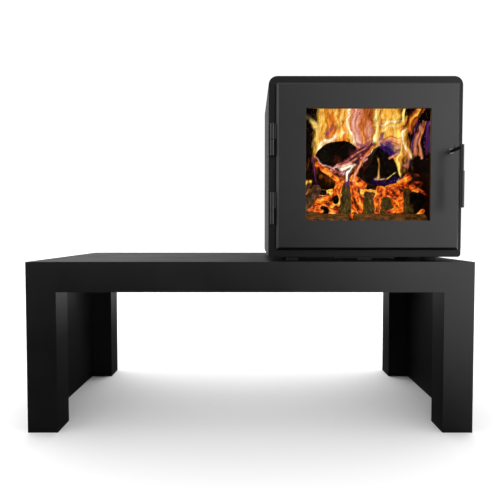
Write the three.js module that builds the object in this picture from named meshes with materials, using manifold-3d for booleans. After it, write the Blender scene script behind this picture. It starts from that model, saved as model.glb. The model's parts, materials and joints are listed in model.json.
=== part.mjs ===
// A wood burning stove standing on a low steel bench: millimetres, +X right, +Y back, +Z up.
// The origin is on the floor, under the middle of the whole object.
import * as THREE from "three";
import { mergeVertices } from "three/addons/utils/BufferGeometryUtils.js";
import Module from "manifold-3d";

const wasm = await Module();
wasm.setup();

// ---------------------------------------------------------------- driving dimensions

const GAP = 0.3; // clearance between pieces that touch

const BENCH = { width: 1200, depth: 600, height: 462, edge: 81.5, legWidth: 80.5, legDepth: 82.5 };
const BENCH_WALL = 3; // wall of the bench's box sections
const BENCH_SHEET = 4; // top sheet
const SIDE_PANEL = 7.6; // plate that closes each end of the bench
const PLUG_HEIGHT = 15; // insert in the foot of each leg

const BODY = { width: 536, depth: 350, height: 499, topRadius: 24, baseRadius: 5 };
const BODY_CENTRE_X = 319; // from the bench's middle
const BODY_FRONT_Y = 60; // behind the bench's front face
const FOOT = { height: 10, radius: 20, insetX: 72, insetY: 50 };
const STEEL = 4; // casing, front plate and back plate

const DOOR = { left: -247, right: 255, bottom: 20, top: 477, thick: 16, face: -20, bevel: 7 };
const WINDOW = { left: -166.6, right: 174, bottom: 101, top: 406 };
const REBATE = { margin: 13, depth: 8 }; // seat of the glass, cut from the door's back
const GLASS_THICK = 4;
const MOUTH = { left: -200, right: 207, bottom: 60, top: 448 }; // opening of the front plate
const ROPE = { width: 9, grooveDepth: 6 };

const HINGE = { x: -257.5, y: -8.5, radius: 6.5, pinRadius: 3, length: 89, centres: [135, 323.5] };
const SPINDLE = { x: 230, z: 290, radius: 4.5, inner: 22 };
const LEVER = {
  reach: 68,
  barRadius: 4.75,
  top: 6.5,
  bottom: -153,
  gripRadius: 6.5,
  gripTop: -61.4,
  gripCap: 4,
};
const LATCH_SLOT = { left: 220, right: 240, bottom: 252, top: 304 };

const BRICK = 30; // thickness of the fire bricks
const BRICK_FRONT = 32; // front edge of the side bricks
const HEARTH = { front: 40, top: 58 };
const WELL = { halfWidth: 100, front: 90, back: 260 }; // hole in the hearth over the ash pan
const GRATE_THICK = 13.4;
const GRATE_LEDGE = 12;
const BAFFLE = { front: 68, frontHeight: 446.2, backHeight: 328, thick: 21.7 };
const FLUE = { z: 415, radius: 75, wall: 3, hole: 70, flange: 82, flangeThick: 3, length: 60 };
const AIR = { halfWidth: 70, rib: 10, front: 12, back: 26 }; // air slots in the floor of the casing
const SLIDE = { halfWidth: 80, back: 46, thick: 2.5, tabHalf: 20, tabDepth: 8 };
const HEAP = { halfWidth: 215, moundLeft: 152, moundRight: 214, logY: 82 }; // the coals
const FRONT_LOG = 32; // radius of the two logs lying before the coals

const ROUND = 32; // sides of a turned piece
const CORNER_STEPS = 6; // steps of a rounded corner
const LOG_SIDES = 20;

// ---------------------------------------------------------------- derived places

const LEVER_FRONT_Y = BODY_FRONT_Y + DOOR.face - LEVER.reach - LEVER.gripRadius;
const MIDDLE_Y = (BENCH.depth + LEVER_FRONT_Y) / 2; // the whole object is centred on this line
const DOOR_BACK = DOOR.face + DOOR.thick;
const BRICK_OUTER = BODY.width / 2 - STEEL - GAP;
const BRICK_INNER = BRICK_OUTER - BRICK;
const BACK_INNER = BODY.depth - STEEL - 2 * GAP; // rear face of what stands against the back plate
const FLOOR_TOP = STEEL + GAP; // underside of what stands on the floor of the casing

// ---------------------------------------------------------------- materials

function finish(color, roughness, metalness) {
  return new THREE.MeshStandardMaterial({ color, roughness, metalness });
}

const paint = finish(0x2e2e30, 0.45, 0.3);
const castIron = finish(0x1c1c1d, 0.7, 0.5);
const bareSteel = finish(0x77777a, 0.35, 0.9);
const fireBrick = finish(0xa08a68, 0.95, 0);
const rope = finish(0x4a4a48, 1, 0);
const plastic = finish(0x101010, 0.6, 0);
const charredWood = finish(0x241a14, 0.95, 0);
const embers = finish(0xd2551a, 0.9, 0);
const glass = finish(0x99958c, 0.05, 0);
glass.transparent = true;
glass.opacity = 0.3;

// ---------------------------------------------------------------- shapes

// A closed geometry as a solid that can be joined and cut.
function solid(geometry) {
  const bare = geometry.clone();
  bare.deleteAttribute("normal");
  bare.deleteAttribute("uv");
  const merged = mergeVertices(bare, 1e-4);
  const vertProperties = new Float32Array(merged.attributes.position.array);
  const triVerts = new Uint32Array(merged.index.array);
  return new wasm.Manifold(new wasm.Mesh({ numProp: 3, vertProperties, triVerts }));
}

function geometryOf(made) {
  const { vertProperties, triVerts } = made.getMesh();
  const geometry = new THREE.BufferGeometry();
  geometry.setAttribute("position", new THREE.BufferAttribute(vertProperties, 3));
  geometry.setIndex(new THREE.BufferAttribute(triVerts, 1));
  geometry.computeVertexNormals();
  return geometry;
}

function cut(geometry, ...tools) {
  return geometryOf(tools.reduce((left, tool) => left.subtract(solid(tool)), solid(geometry)));
}

function join(...geometries) {
  return geometryOf(geometries.map(solid).reduce((a, b) => a.add(b)));
}

function box(x0, x1, y0, y1, z0, z1) {
  const block = new THREE.BoxGeometry(x1 - x0, y1 - y0, z1 - z0);
  return block.translate((x0 + x1) / 2, (y0 + y1) / 2, (z0 + z1) / 2);
}

// An outline drawn in X and Z, as thick as from y0 to y1.
function plate(shape, y0, y1) {
  const options = { depth: y1 - y0, bevelEnabled: false, curveSegments: CORNER_STEPS };
  return new THREE.ExtrudeGeometry(shape, options).rotateX(Math.PI / 2).translate(0, y1, 0);
}

// An outline of [y, z] points, as long as from x0 to x1.
function bar(points, x0, x1) {
  const shape = new THREE.Shape(points.map(([y, z]) => new THREE.Vector2(y, z)));
  const slab = new THREE.ExtrudeGeometry(shape, { depth: x1 - x0, bevelEnabled: false });
  const upright = new THREE.Matrix4().set(0, 0, 1, 0, 1, 0, 0, 0, 0, 1, 0, 0, 0, 0, 0, 1);
  return slab.applyMatrix4(upright).translate(x0, 0, 0);
}

function roundedOutline(x0, x1, z0, z1, topRadius, baseRadius) {
  const shape = new THREE.Shape();
  shape.moveTo(x0 + baseRadius, z0);
  shape.lineTo(x1 - baseRadius, z0);
  shape.absarc(x1 - baseRadius, z0 + baseRadius, baseRadius, -Math.PI / 2, 0);
  shape.lineTo(x1, z1 - topRadius);
  shape.absarc(x1 - topRadius, z1 - topRadius, topRadius, 0, Math.PI / 2);
  shape.lineTo(x0 + topRadius, z1);
  shape.absarc(x0 + topRadius, z1 - topRadius, topRadius, Math.PI / 2, Math.PI);
  shape.lineTo(x0, z0 + baseRadius);
  shape.absarc(x0 + baseRadius, z0 + baseRadius, baseRadius, Math.PI, 1.5 * Math.PI);
  return shape;
}

// A frame of even width whose inner edge is the given rectangle.
function frame({ left, right, bottom, top }, width, y0, y1) {
  const outer = box(left - width, right + width, y0, y1, bottom - width, top + width);
  return cut(outer, box(left, right, y0 - 1, y1 + 1, bottom, top));
}

function rodZ(x, y, radius, z0, z1) {
  const rod = new THREE.CylinderGeometry(radius, radius, z1 - z0, ROUND);
  return rod.rotateX(Math.PI / 2).translate(x, y, (z0 + z1) / 2);
}

function rodY(x, z, radius, y0, y1, sides = ROUND) {
  return new THREE.CylinderGeometry(radius, radius, y1 - y0, sides).translate(x, (y0 + y1) / 2, z);
}

// A straight round log between two points.
function log(from, to, radius) {
  const start = new THREE.Vector3(...from);
  const along = new THREE.Vector3(...to).sub(start);
  const length = along.length();
  const turn = new THREE.Quaternion();
  turn.setFromUnitVectors(new THREE.Vector3(0, 1, 0), along.clone().normalize());
  const trunk = new THREE.CylinderGeometry(radius, radius, length, LOG_SIDES);
  return trunk.applyQuaternion(turn).translate(...start.addScaledVector(along, 0.5));
}

// The outline of a split log: an ellipse turned by tilt, which corner pulls out into three rounded corners.
function section(halfWidth, halfHeight, tilt, corner) {
  const outline = [];
  for (let i = 0; i < LOG_SIDES; i += 1) {
    const angle = (2 * Math.PI * i) / LOG_SIDES;
    const reach = 1 + corner * Math.cos(3 * (angle - Math.PI / 2));
    const [x, z] = [halfWidth * reach * Math.cos(angle), halfHeight * reach * Math.sin(angle)];
    outline.push(new THREE.Vector2(x, z).rotateAround(new THREE.Vector2(), tilt));
  }
  return outline;
}

// A log of any section from a point at the front to one behind it, both its ends upright.
function splitLog(outline, from, to) {
  const [dx, dy, dz] = to.map((value, i) => value - from[i]);
  const lean = new THREE.Matrix4().set(1, dx / dy, 0, 0, 0, 1, 0, 0, 0, dz / dy, 1, 0, 0, 0, 0, 1);
  return plate(new THREE.Shape(outline), 0, dy).applyMatrix4(lean).translate(...from);
}

const mirrored = (geometry) => {
  const flipped = geometry.index ? geometry.toNonIndexed() : geometry.clone();
  flipped.scale(-1, 1, 1);
  const points = flipped.attributes.position;
  const corner = new THREE.Vector3();
  for (let i = 0; i < points.count; i += 3) {
    corner.fromBufferAttribute(points, i + 1);
    points.setXYZ(i + 1, points.getX(i + 2), points.getY(i + 2), points.getZ(i + 2));
    points.setXYZ(i + 2, corner.x, corner.y, corner.z);
  }
  return flipped;
};

function piece(parent, name, geometry, material) {
  const mesh = new THREE.Mesh(geometry, material);
  mesh.name = name;
  parent.add(mesh);
  return mesh;
}

// ---------------------------------------------------------------- bench

function boxSection(x0, x1, y0, y1, z0, z1, openAlong) {
  const inner = [x0, x1, y0, y1, z0, z1].map((value, i) => value + (i % 2 ? -BENCH_WALL : BENCH_WALL));
  const axis = { x: 0, y: 2, z: 4 }[openAlong];
  if (axis !== undefined) {
    inner[axis] -= 2 * BENCH_WALL;
    inner[axis + 1] += 2 * BENCH_WALL;
  }
  return cut(box(x0, x1, y0, y1, z0, z1), box(...inner));
}

// A closed beam, open only downwards into the two legs that it stands on.
function beam(y0, y1) {
  const half = BENCH.width / 2;
  const z0 = BENCH.height - BENCH.edge;
  const z1 = BENCH.height - BENCH_SHEET - GAP;
  const legHole = (side) => {
    const outer = side * (half - 2 * BENCH_WALL);
    const inner = side * (half - BENCH.legWidth + 2 * BENCH_WALL);
    const [a, b] = [Math.min(outer, inner), Math.max(outer, inner)];
    return box(a, b, y0 + 2 * BENCH_WALL, y1 - 2 * BENCH_WALL, z0 - 1, z0 + 2 * BENCH_WALL);
  };
  return cut(boxSection(-half, half, y0, y1, z0, z1), legHole(-1), legHole(1));
}

function makeBench(bench) {
  const half = BENCH.width / 2;
  const { depth, height, legWidth, legDepth } = BENCH;
  const under = height - BENCH.edge - GAP;
  piece(bench, "bench_top_sheet", box(-half, half, 0, depth, height - BENCH_SHEET, height), paint);
  piece(bench, "bench_beam_front", beam(0, legDepth), paint);
  piece(bench, "bench_beam_rear", beam(depth - legDepth, depth), paint);
  for (const [side, x] of [["left", -half], ["right", half - legWidth]]) {
    const [y0, y1] = [legDepth + GAP, depth - legDepth - GAP];
    const rail = boxSection(x, x + legWidth, y0, y1, height - BENCH.edge, height - BENCH_SHEET - GAP, "y");
    piece(bench, `bench_rail_${side}`, rail, paint);
    const panelX = side === "left" ? x : x + legWidth - SIDE_PANEL;
    piece(bench, `bench_side_panel_${side}`, box(panelX, panelX + SIDE_PANEL, y0, y1, 0, under), paint);
    for (const [end, y] of [["front", 0], ["rear", depth - legDepth]]) {
      const leg = boxSection(x, x + legWidth, y, y + legDepth, 0, under, "z");
      piece(bench, `bench_leg_${end}_${side}`, leg, paint);
      const inset = BENCH_WALL + GAP;
      const plug = box(x + inset, x + legWidth - inset, y + inset, y + legDepth - inset, 0, PLUG_HEIGHT);
      piece(bench, `bench_leg_plug_${end}_${side}`, plug, plastic);
    }
  }
}

// ---------------------------------------------------------------- stove body
// In the stove's own frame: x from its middle, y from its front plate, z from its underside.

function bodyOutline(inset) {
  const half = BODY.width / 2 - inset;
  const [topRadius, baseRadius] = [BODY.topRadius - inset, Math.max(BODY.baseRadius - inset, 1)];
  return roundedOutline(-half, half, inset, BODY.height - inset, topRadius, baseRadius);
}

function makeShell(stove) {
  const [y0, y1] = [STEEL + GAP, BODY.depth - STEEL - GAP];
  const airSlot = (x0, x1) => box(x0, x1, AIR.front, AIR.back, -1, STEEL + 1);
  const tunnel = plate(bodyOutline(STEEL), y0 - 1, y1 + 1);
  const slots = [airSlot(-AIR.halfWidth, -AIR.rib), airSlot(AIR.rib, AIR.halfWidth)];
  piece(stove, "casing", cut(plate(bodyOutline(0), y0, y1), tunnel, ...slots), paint);

  const mouth = box(MOUTH.left, MOUTH.right, -1, STEEL + 1, MOUTH.bottom, MOUTH.top);
  const { left, right, bottom, top } = LATCH_SLOT;
  const latchSlot = box(left, right, -1, STEEL + 1, bottom, top);
  piece(stove, "front_plate", cut(plate(bodyOutline(0), 0, STEEL), mouth, latchSlot), paint);

  const flueHole = rodY(0, FLUE.z, FLUE.hole, BODY.depth - STEEL - 1, BODY.depth + 1, 48);
  piece(stove, "back_plate", cut(plate(bodyOutline(0), BODY.depth - STEEL, BODY.depth), flueHole), paint);
}

// A spigot with a flat flange, turned about the flue's centre line.
function makeFlueCollar(stove) {
  const inner = FLUE.radius - FLUE.wall;
  const profile = [
    [inner, 0],
    [FLUE.flange, 0],
    [FLUE.flange, FLUE.flangeThick],
    [FLUE.radius, FLUE.flangeThick],
    [FLUE.radius, FLUE.length],
    [inner, FLUE.length],
    [inner, 0],
  ];
  const turned = new THREE.LatheGeometry(profile.map(([r, y]) => new THREE.Vector2(r, y)), 48);
  const collar = piece(stove, "flue_collar", turned, castIron);
  collar.position.set(0, BODY.depth + GAP, FLUE.z);
}

function makeFeet(stove) {
  const x = BODY.width / 2 - FOOT.insetX;
  for (const [side, footX] of [["left", -x], ["right", x]])
    for (const [end, footY] of [["front", FOOT.insetY], ["rear", BODY.depth - FOOT.insetY]]) {
      const foot = rodZ(footX, footY, FOOT.radius, GAP - FOOT.height, -GAP);
      piece(stove, `stove_foot_${end}_${side}`, foot, castIron);
    }
}

// ---------------------------------------------------------------- firebox

function makeBricks(stove) {
  const side = [
    [BRICK_FRONT, FLOOR_TOP],
    [BACK_INNER, FLOOR_TOP],
    [BACK_INNER, BAFFLE.backHeight - GAP],
    [BAFFLE.front, BAFFLE.frontHeight - GAP],
    [BRICK_FRONT, BAFFLE.frontHeight - GAP],
  ];
  piece(stove, "fire_brick_left", bar(side, -BRICK_OUTER, -BRICK_INNER), fireBrick);
  piece(stove, "fire_brick_right", bar(side, BRICK_INNER, BRICK_OUTER), fireBrick);

  const between = BRICK_INNER - GAP;
  const rearFront = BACK_INNER - BRICK;
  const rear = box(-between, between, rearFront, BACK_INNER, FLOOR_TOP, BAFFLE.backHeight - 2 * GAP);
  piece(stove, "fire_brick_rear", rear, fireBrick);

  const baffle = [
    [BAFFLE.front, BAFFLE.frontHeight],
    [BACK_INNER, BAFFLE.backHeight],
    [BACK_INNER, BAFFLE.backHeight + BAFFLE.thick],
    [BAFFLE.front, BAFFLE.frontHeight + BAFFLE.thick],
  ];
  piece(stove, "baffle_plate", bar(baffle, -BRICK_OUTER, BRICK_OUTER), fireBrick);

  const { halfWidth, front, back } = WELL;
  const seatHalf = halfWidth + GRATE_LEDGE;
  const [seatFront, seatBack] = [front - GRATE_LEDGE, back + GRATE_LEDGE];
  const seatBottom = HEARTH.top - GRATE_THICK - 2 * GAP;
  const hearth = cut(
    box(-between, between, HEARTH.front, rearFront - GAP, FLOOR_TOP, HEARTH.top),
    box(-halfWidth, halfWidth, front, back, 0, HEARTH.top + 1),
    box(-seatHalf, seatHalf, seatFront, seatBack, seatBottom, HEARTH.top + 1),
  );
  piece(stove, "hearth_block", hearth, fireBrick);
}

function makeGrate(stove) {
  const { halfWidth, front, back } = WELL;
  const [x, y0, y1] = [halfWidth + GRATE_LEDGE - GAP, front - GRATE_LEDGE + GAP, back + GRATE_LEDGE - GAP];
  const bottom = HEARTH.top - GRATE_THICK - GAP;
  const slots = [];
  const [slotPitch, slotHalf, slotsEachSide, slotInset] = [22, 6, 4, 8];
  for (let i = -slotsEachSide; i <= slotsEachSide; i += 1) {
    const centre = i * slotPitch;
    const [slotFront, slotBack] = [front + slotInset, back - slotInset];
    slots.push(box(centre - slotHalf, centre + slotHalf, slotFront, slotBack, bottom - 1, HEARTH.top));
  }
  piece(stove, "grate", cut(box(-x, x, y0, y1, bottom, bottom + GRATE_THICK), ...slots), castIron);
}

function makeAshPan(stove) {
  const [play, wall] = [3, 2];
  const [x, y0, y1] = [WELL.halfWidth - play, WELL.front + play, WELL.back - play];
  const [bottom, top] = [FLOOR_TOP + GAP, 38];
  const inside = box(-x + wall, x - wall, y0 + wall, y1 - wall, bottom + wall, top + 1);
  piece(stove, "ash_pan", cut(box(-x, x, y0, y1, bottom, top), inside), bareSteel);
}

function makeGuides(stove) {
  const [guardThick, guardHeight, guardFoot] = [3, 38, 18];
  const [front, sole] = [HEARTH.front + 1, HEARTH.top + GAP];
  const guard = [
    [front, sole],
    [front + guardFoot, sole],
    [front + guardFoot, sole + guardThick],
    [front + guardThick, sole + guardThick],
    [front + guardThick, sole + guardHeight],
    [front, sole + guardHeight],
  ];
  piece(stove, "log_guard", bar(guard, GAP - BRICK_INNER, BRICK_INNER - GAP), castIron);

  const [washFront, washBack, washLow, washTop, washThick] = [STEEL + GAP, 27, 424, 473, 3];
  const airwash = [
    [washBack - washThick, washLow],
    [washBack, washLow],
    [washBack, washTop],
    [washFront, washTop],
    [washFront, washTop - washThick],
    [washBack - washThick, washTop - washThick],
  ];
  piece(stove, "airwash_deflector", bar(airwash, -205, 205), bareSteel);

  const keeperTop = LATCH_SLOT.bottom + 22;
  const keeperRight = LATCH_SLOT.left + 2.3;
  const keeper = box(MOUTH.right + 2, keeperRight, STEEL + GAP, 9.5, LATCH_SLOT.bottom + 2, keeperTop);
  piece(stove, "latch_keeper", keeper, bareSteel);
}

// Fuel as it lies on the hearth: a bank of embers, two short logs along its foot, two on top of it.
// The fire: a heap of coals, higher at the right, two logs lying before it
// and two charred ones across its top.
function makeFuel(stove) {
  const foot = HEARTH.top + GAP;
  const heap = [
    [118, foot],
    [312, foot],
    [312, 205],
    [190, 195],
    [136, 172],
    [118, 124],
  ];
  const mound = [
    [150, foot],
    [302, foot],
    [296, 232],
    [235, 258],
    [178, 246],
    [150, 190],
  ];
  const { halfWidth, moundLeft, moundRight } = HEAP;
  const bed = join(bar(heap, -halfWidth, halfWidth), bar(mound, moundLeft, moundRight));
  piece(stove, "ember_bed", bed, embers);
  const [y, z] = [HEAP.logY, foot + FRONT_LOG + 1];
  piece(stove, "log_front_left", log([-200, y, z], [-32, y, z], FRONT_LOG), charredWood);
  piece(stove, "log_front_right", log([-16, y, z], [198, y, z], FRONT_LOG), charredWood);
  const split = section(62, 38, 0.2, 0);
  const wedge = section(57, 56, 0, 0.12);
  piece(stove, "log_upper_left", splitLog(split, [-60, 120, 304], [-34, 290, 276]), charredWood);
  piece(stove, "log_upper_right", splitLog(wedge, [82, 120, 264], [96, 290, 282]), charredWood);
}

// ---------------------------------------------------------------- air slide, under the body

function makeAirSlide(stove) {
  const top = -GAP;
  const sole = top - SLIDE.thick;
  const slot = (x0, x1) => box(x0, x1, AIR.front, AIR.back, sole - 1, top + 1);
  const flat = box(-SLIDE.halfWidth, SLIDE.halfWidth, 1, SLIDE.back, sole, top);
  const tab = box(-SLIDE.tabHalf, SLIDE.tabHalf, 1, 1 + SLIDE.thick, top - SLIDE.tabDepth, top);
  const slots = [slot(-AIR.halfWidth, -AIR.rib), slot(AIR.rib, AIR.halfWidth)];
  piece(stove, "air_slide", cut(join(flat, tab), ...slots), paint);

  const [x, lip, wall, drop, overrun] = [SLIDE.halfWidth + 2 * GAP, 5, 3, 5.5, 14];
  const back = SLIDE.back + overrun;
  const guide = join(
    box(x, x + wall, STEEL, back, -drop, -GAP),
    box(x - lip, x + wall, STEEL, back, -drop, sole - GAP),
  );
  piece(stove, "air_slide_guide_right", guide, paint);
  piece(stove, "air_slide_guide_left", mirrored(guide), paint);
}

// ---------------------------------------------------------------- hinges

// Each hinge has two knuckles on one pin: the lower is on the body, the upper on the door.
function makeHinges(stove) {
  const { x, y, radius, pinRadius, length } = HINGE;
  const bore = pinRadius + GAP;
  const [capThick, webHalf, leafFront, leafBack] = [3, 3.5, 3, 3.5];
  HINGE.centres.forEach((centre, i) => {
    const end = ["lower", "upper"][i];
    const [low, high] = [centre - length / 2, centre + length / 2];
    const drill = rodZ(x, y, bore, low + capThick, high - capThick);
    const bracket = box(x - webHalf, x + webHalf, y, -GAP, low, centre - GAP);
    const bodyKnuckle = cut(join(rodZ(x, y, radius, low, centre - GAP), bracket), drill);
    piece(stove, `hinge_knuckle_body_${end}`, bodyKnuckle, paint);
    const leaf = box(x, DOOR.left - GAP, y - leafFront, y + leafBack, centre + GAP, high);
    const doorKnuckle = cut(join(rodZ(x, y, radius, centre + GAP, high), leaf), drill);
    piece(stove, `hinge_knuckle_door_${end}`, doorKnuckle, paint);
    const pin = rodZ(x, y, pinRadius, low + capThick + 1, high - capThick - 1);
    piece(stove, `hinge_pin_${end}`, pin, bareSteel);
  });
}

// ---------------------------------------------------------------- door

// A block whose front edges are bevelled all round.
function bevelledSlab({ left, right, bottom, top, face, bevel }, back) {
  const corner = 3;
  const depth = 20; // more than the door's thickness, as the bevel at the rear is cut away
  const shape = roundedOutline(left + bevel, right - bevel, bottom + bevel, top - bevel, corner, corner);
  const options = { depth, bevelThickness: bevel, bevelSize: bevel, bevelSegments: 4, curveSegments: 2 };
  const pillow = new THREE.ExtrudeGeometry(shape, options);
  pillow.rotateX(Math.PI / 2).translate(0, face + depth + bevel, 0);
  return cut(pillow, box(left - 1, right + 1, back, face + 2 * depth + bevel, bottom - 1, top + 1));
}

function makeDoor(stove) {
  const [bushWall, bushProud] = [2, 2];
  const seat = {
    left: WINDOW.left - REBATE.margin,
    right: WINDOW.right + REBATE.margin,
    bottom: WINDOW.bottom - REBATE.margin,
    top: WINDOW.top + REBATE.margin,
  };
  const seatFront = DOOR_BACK - REBATE.depth;
  const [lapX, lapZ] = [1.5, 2]; // how far outside the mouth the sealing rope runs
  const ring = {
    left: MOUTH.left - lapX,
    right: MOUTH.right + lapX,
    bottom: MOUTH.bottom - lapZ,
    top: MOUTH.top + lapZ,
  };
  const groove = frame(ring, ROPE.width + 2 * GAP, DOOR_BACK - ROPE.grooveDepth, DOOR_BACK + 1);
  const panel = cut(
    bevelledSlab(DOOR, DOOR_BACK),
    box(WINDOW.left, WINDOW.right, DOOR.face - 1, DOOR_BACK + 1, WINDOW.bottom, WINDOW.top),
    box(seat.left, seat.right, seatFront, DOOR_BACK + 1, seat.bottom, seat.top),
    groove,
    rodY(SPINDLE.x, SPINDLE.z, SPINDLE.radius + 3 * GAP + bushWall, DOOR.face - 1, DOOR_BACK + 1),
  );
  piece(stove, "door_panel", panel, paint);

  const glassFront = DOOR_BACK - GLASS_THICK;
  const [gx0, gx1, gz0, gz1] = [seat.left + 1, seat.right - 1, seat.bottom + 1, seat.top - 1];
  piece(stove, "door_glass", box(gx0, gx1, glassFront, DOOR_BACK, gz0, gz1), glass);
  const tapeWidth = 9;
  const tape = {
    left: gx0 + tapeWidth,
    right: gx1 - tapeWidth,
    bottom: gz0 + tapeWidth,
    top: gz1 - tapeWidth,
  };
  piece(stove, "glass_gasket", frame(tape, tapeWidth, seatFront + GAP, glassFront - GAP), rope);
  const inner = {
    left: ring.left - GAP,
    right: ring.right + GAP,
    bottom: ring.bottom - GAP,
    top: ring.top + GAP,
  };
  const ropeFront = DOOR_BACK - ROPE.grooveDepth + GAP;
  piece(stove, "door_rope_seal", frame(inner, ROPE.width, ropeFront, -GAP), rope);

  const [clipInset, clipHeight, clipThick, clipLap] = [12, 16, 2, 7];
  for (const [end, z] of [["lower", seat.bottom - clipLap], ["upper", seat.top + clipLap - clipHeight]]) {
    const [x0, x1] = [seat.left + clipInset, seat.right - clipInset];
    const clip = box(x0, x1, DOOR_BACK + GAP, DOOR_BACK + GAP + clipThick, z, z + clipHeight);
    piece(stove, `glass_clip_${end}`, clip, bareSteel);
  }

  const [bushOuter, bushInner] = [SPINDLE.radius + 2 * GAP + bushWall, SPINDLE.radius + GAP];
  const bush = cut(
    rodY(0, 0, bushOuter, DOOR.face + GAP, DOOR_BACK + bushProud),
    rodY(0, 0, bushInner, DOOR.face - 1, DOOR_BACK + bushProud + 1),
  );
  piece(stove, "spindle_bush", bush, bareSteel).position.set(SPINDLE.x, 0, SPINDLE.z);
}

// ---------------------------------------------------------------- handle
// In the handle's own frame: the spindle's axis is y, and y = 0 is the door's face.

function makeHandle(stove) {
  const handle = new THREE.Group();
  handle.position.set(SPINDLE.x, DOOR.face, SPINDLE.z);
  stove.add(handle);
  const { reach, barRadius, top, bottom, gripRadius, gripTop, gripCap } = LEVER;
  const spindleEnd = -DOOR.face + SPINDLE.inner;
  const lever = join(
    rodY(0, 0, SPINDLE.radius, -reach, spindleEnd),
    rodZ(0, -reach, barRadius, bottom, top),
  );
  piece(handle, "handle_lever", lever, paint);

  const grip = cut(
    rodZ(0, -reach, gripRadius, bottom - gripCap, gripTop),
    rodZ(0, -reach, barRadius + GAP, bottom - GAP, gripTop + 1),
  );
  piece(handle, "handle_grip", grip, paint);

  const [pinY, pinRadius, pinTop] = [-23, 2.2, 11];
  piece(handle, "handle_stop_pin", rodZ(0, pinY, pinRadius, SPINDLE.radius + GAP, pinTop), paint);

  const [tongueFront, tongueThick, tongueHalf, tongueTip, tongueTop] = [30, 5, 7, -32, 8];
  const drill = rodY(0, 0, SPINDLE.radius + GAP, 0, 60);
  const blade = box(-tongueHalf, tongueHalf, tongueFront, tongueFront + tongueThick, tongueTip, tongueTop);
  piece(handle, "latch_tongue", cut(blade, drill), bareSteel);
  const nutFront = tongueFront + tongueThick + GAP;
  const [nutRadius, nutThick, nutSides] = [8, 5, 6];
  const nut = rodY(0, 0, nutRadius, nutFront, nutFront + nutThick, nutSides);
  piece(handle, "spindle_nut", cut(nut, drill), bareSteel);
}

// ---------------------------------------------------------------- the whole object

const part = new THREE.Group();
part.position.y = -MIDDLE_Y;

const bench = new THREE.Group();
part.add(bench);
makeBench(bench);

const stove = new THREE.Group();
stove.position.set(BODY_CENTRE_X, BODY_FRONT_Y, BENCH.height + FOOT.height);
part.add(stove);
makeShell(stove);
makeFlueCollar(stove);
makeFeet(stove);
makeBricks(stove);
makeGrate(stove);
makeAshPan(stove);
makeGuides(stove);
makeFuel(stove);
makeAirSlide(stove);
makeHinges(stove);
makeDoor(stove);
makeHandle(stove);

export default part;
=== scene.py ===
"""A wood burning stove on a steel bench: its looks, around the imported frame. Lengths are in metres."""
import json
import math
import random

import bmesh
import bpy
import numpy as np
from mathutils import Matrix, Vector, noise


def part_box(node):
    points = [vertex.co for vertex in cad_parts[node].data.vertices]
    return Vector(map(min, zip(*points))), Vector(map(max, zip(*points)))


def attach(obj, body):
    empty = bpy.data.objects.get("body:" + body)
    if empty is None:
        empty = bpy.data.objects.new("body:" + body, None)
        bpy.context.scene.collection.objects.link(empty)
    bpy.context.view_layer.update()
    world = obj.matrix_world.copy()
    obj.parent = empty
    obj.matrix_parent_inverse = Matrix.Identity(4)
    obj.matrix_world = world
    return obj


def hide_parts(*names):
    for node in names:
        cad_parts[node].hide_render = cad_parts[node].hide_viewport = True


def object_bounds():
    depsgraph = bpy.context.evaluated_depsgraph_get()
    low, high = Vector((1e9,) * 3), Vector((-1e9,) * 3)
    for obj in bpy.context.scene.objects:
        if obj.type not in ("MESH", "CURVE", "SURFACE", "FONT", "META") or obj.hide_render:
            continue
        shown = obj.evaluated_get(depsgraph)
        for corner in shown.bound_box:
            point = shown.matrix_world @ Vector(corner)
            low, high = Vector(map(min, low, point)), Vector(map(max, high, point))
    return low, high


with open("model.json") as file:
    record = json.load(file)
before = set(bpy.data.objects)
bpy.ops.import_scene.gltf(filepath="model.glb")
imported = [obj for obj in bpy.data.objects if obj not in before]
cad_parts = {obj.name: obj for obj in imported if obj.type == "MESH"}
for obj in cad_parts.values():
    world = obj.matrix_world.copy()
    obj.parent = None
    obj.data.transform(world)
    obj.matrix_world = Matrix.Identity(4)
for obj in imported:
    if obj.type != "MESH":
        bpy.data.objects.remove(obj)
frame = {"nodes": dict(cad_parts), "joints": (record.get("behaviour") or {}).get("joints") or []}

cad_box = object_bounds()
scene = bpy.context.scene
MM = 0.001

# ---- camera

CAMERA_HEIGHT = 541.6 * MM
CAMERA_SIDE = -0.9 * MM
CAMERA_BEFORE_BENCH = 1300.6 * MM  # in front of the bench's front face
CAMERA_TILT = 2.107  # degrees below the horizon
LENS = 35.18  # on a sensor 36 wide
CAMERA_SHIFT = 0.0005  # to the right, in frame widths
FAR_CLIP = 60


def make_camera():
    data = bpy.data.cameras.new("camera")
    data.lens = LENS
    data.sensor_width = 36
    data.shift_x = CAMERA_SHIFT
    data.clip_end = FAR_CLIP
    camera = bpy.data.objects.new("camera", data)
    scene.collection.objects.link(camera)
    bench_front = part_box("bench_top_sheet")[0].y
    camera.location = (CAMERA_SIDE, bench_front - CAMERA_BEFORE_BENCH, CAMERA_HEIGHT)
    camera.rotation_euler = (math.radians(90 - CAMERA_TILT), 0, 0)
    scene.camera = camera


make_camera()

# ---- mesh tools


def arc(cx, cz, radius, start, stop, steps):
    """Points of an arc in the XZ plane, angles in quarter turns."""
    angles = [math.pi / 2 * (start + (stop - start) * i / steps) for i in range(steps + 1)]
    return [(cx + radius * math.cos(a), cz + radius * math.sin(a)) for a in angles]


def rounded_outline(x0, x1, z0, z1, top_radius, base_radius, steps=10):
    """A rectangle with rounded corners, anticlockwise from the base's right corner."""
    t, b = top_radius, base_radius
    return (
        arc(x1 - b, z0 + b, b, -1, 0, steps)
        + arc(x1 - t, z1 - t, t, 0, 1, steps)
        + arc(x0 + t, z1 - t, t, 1, 2, steps)
        + arc(x0 + b, z0 + b, b, 2, 3, steps)
    )


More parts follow.
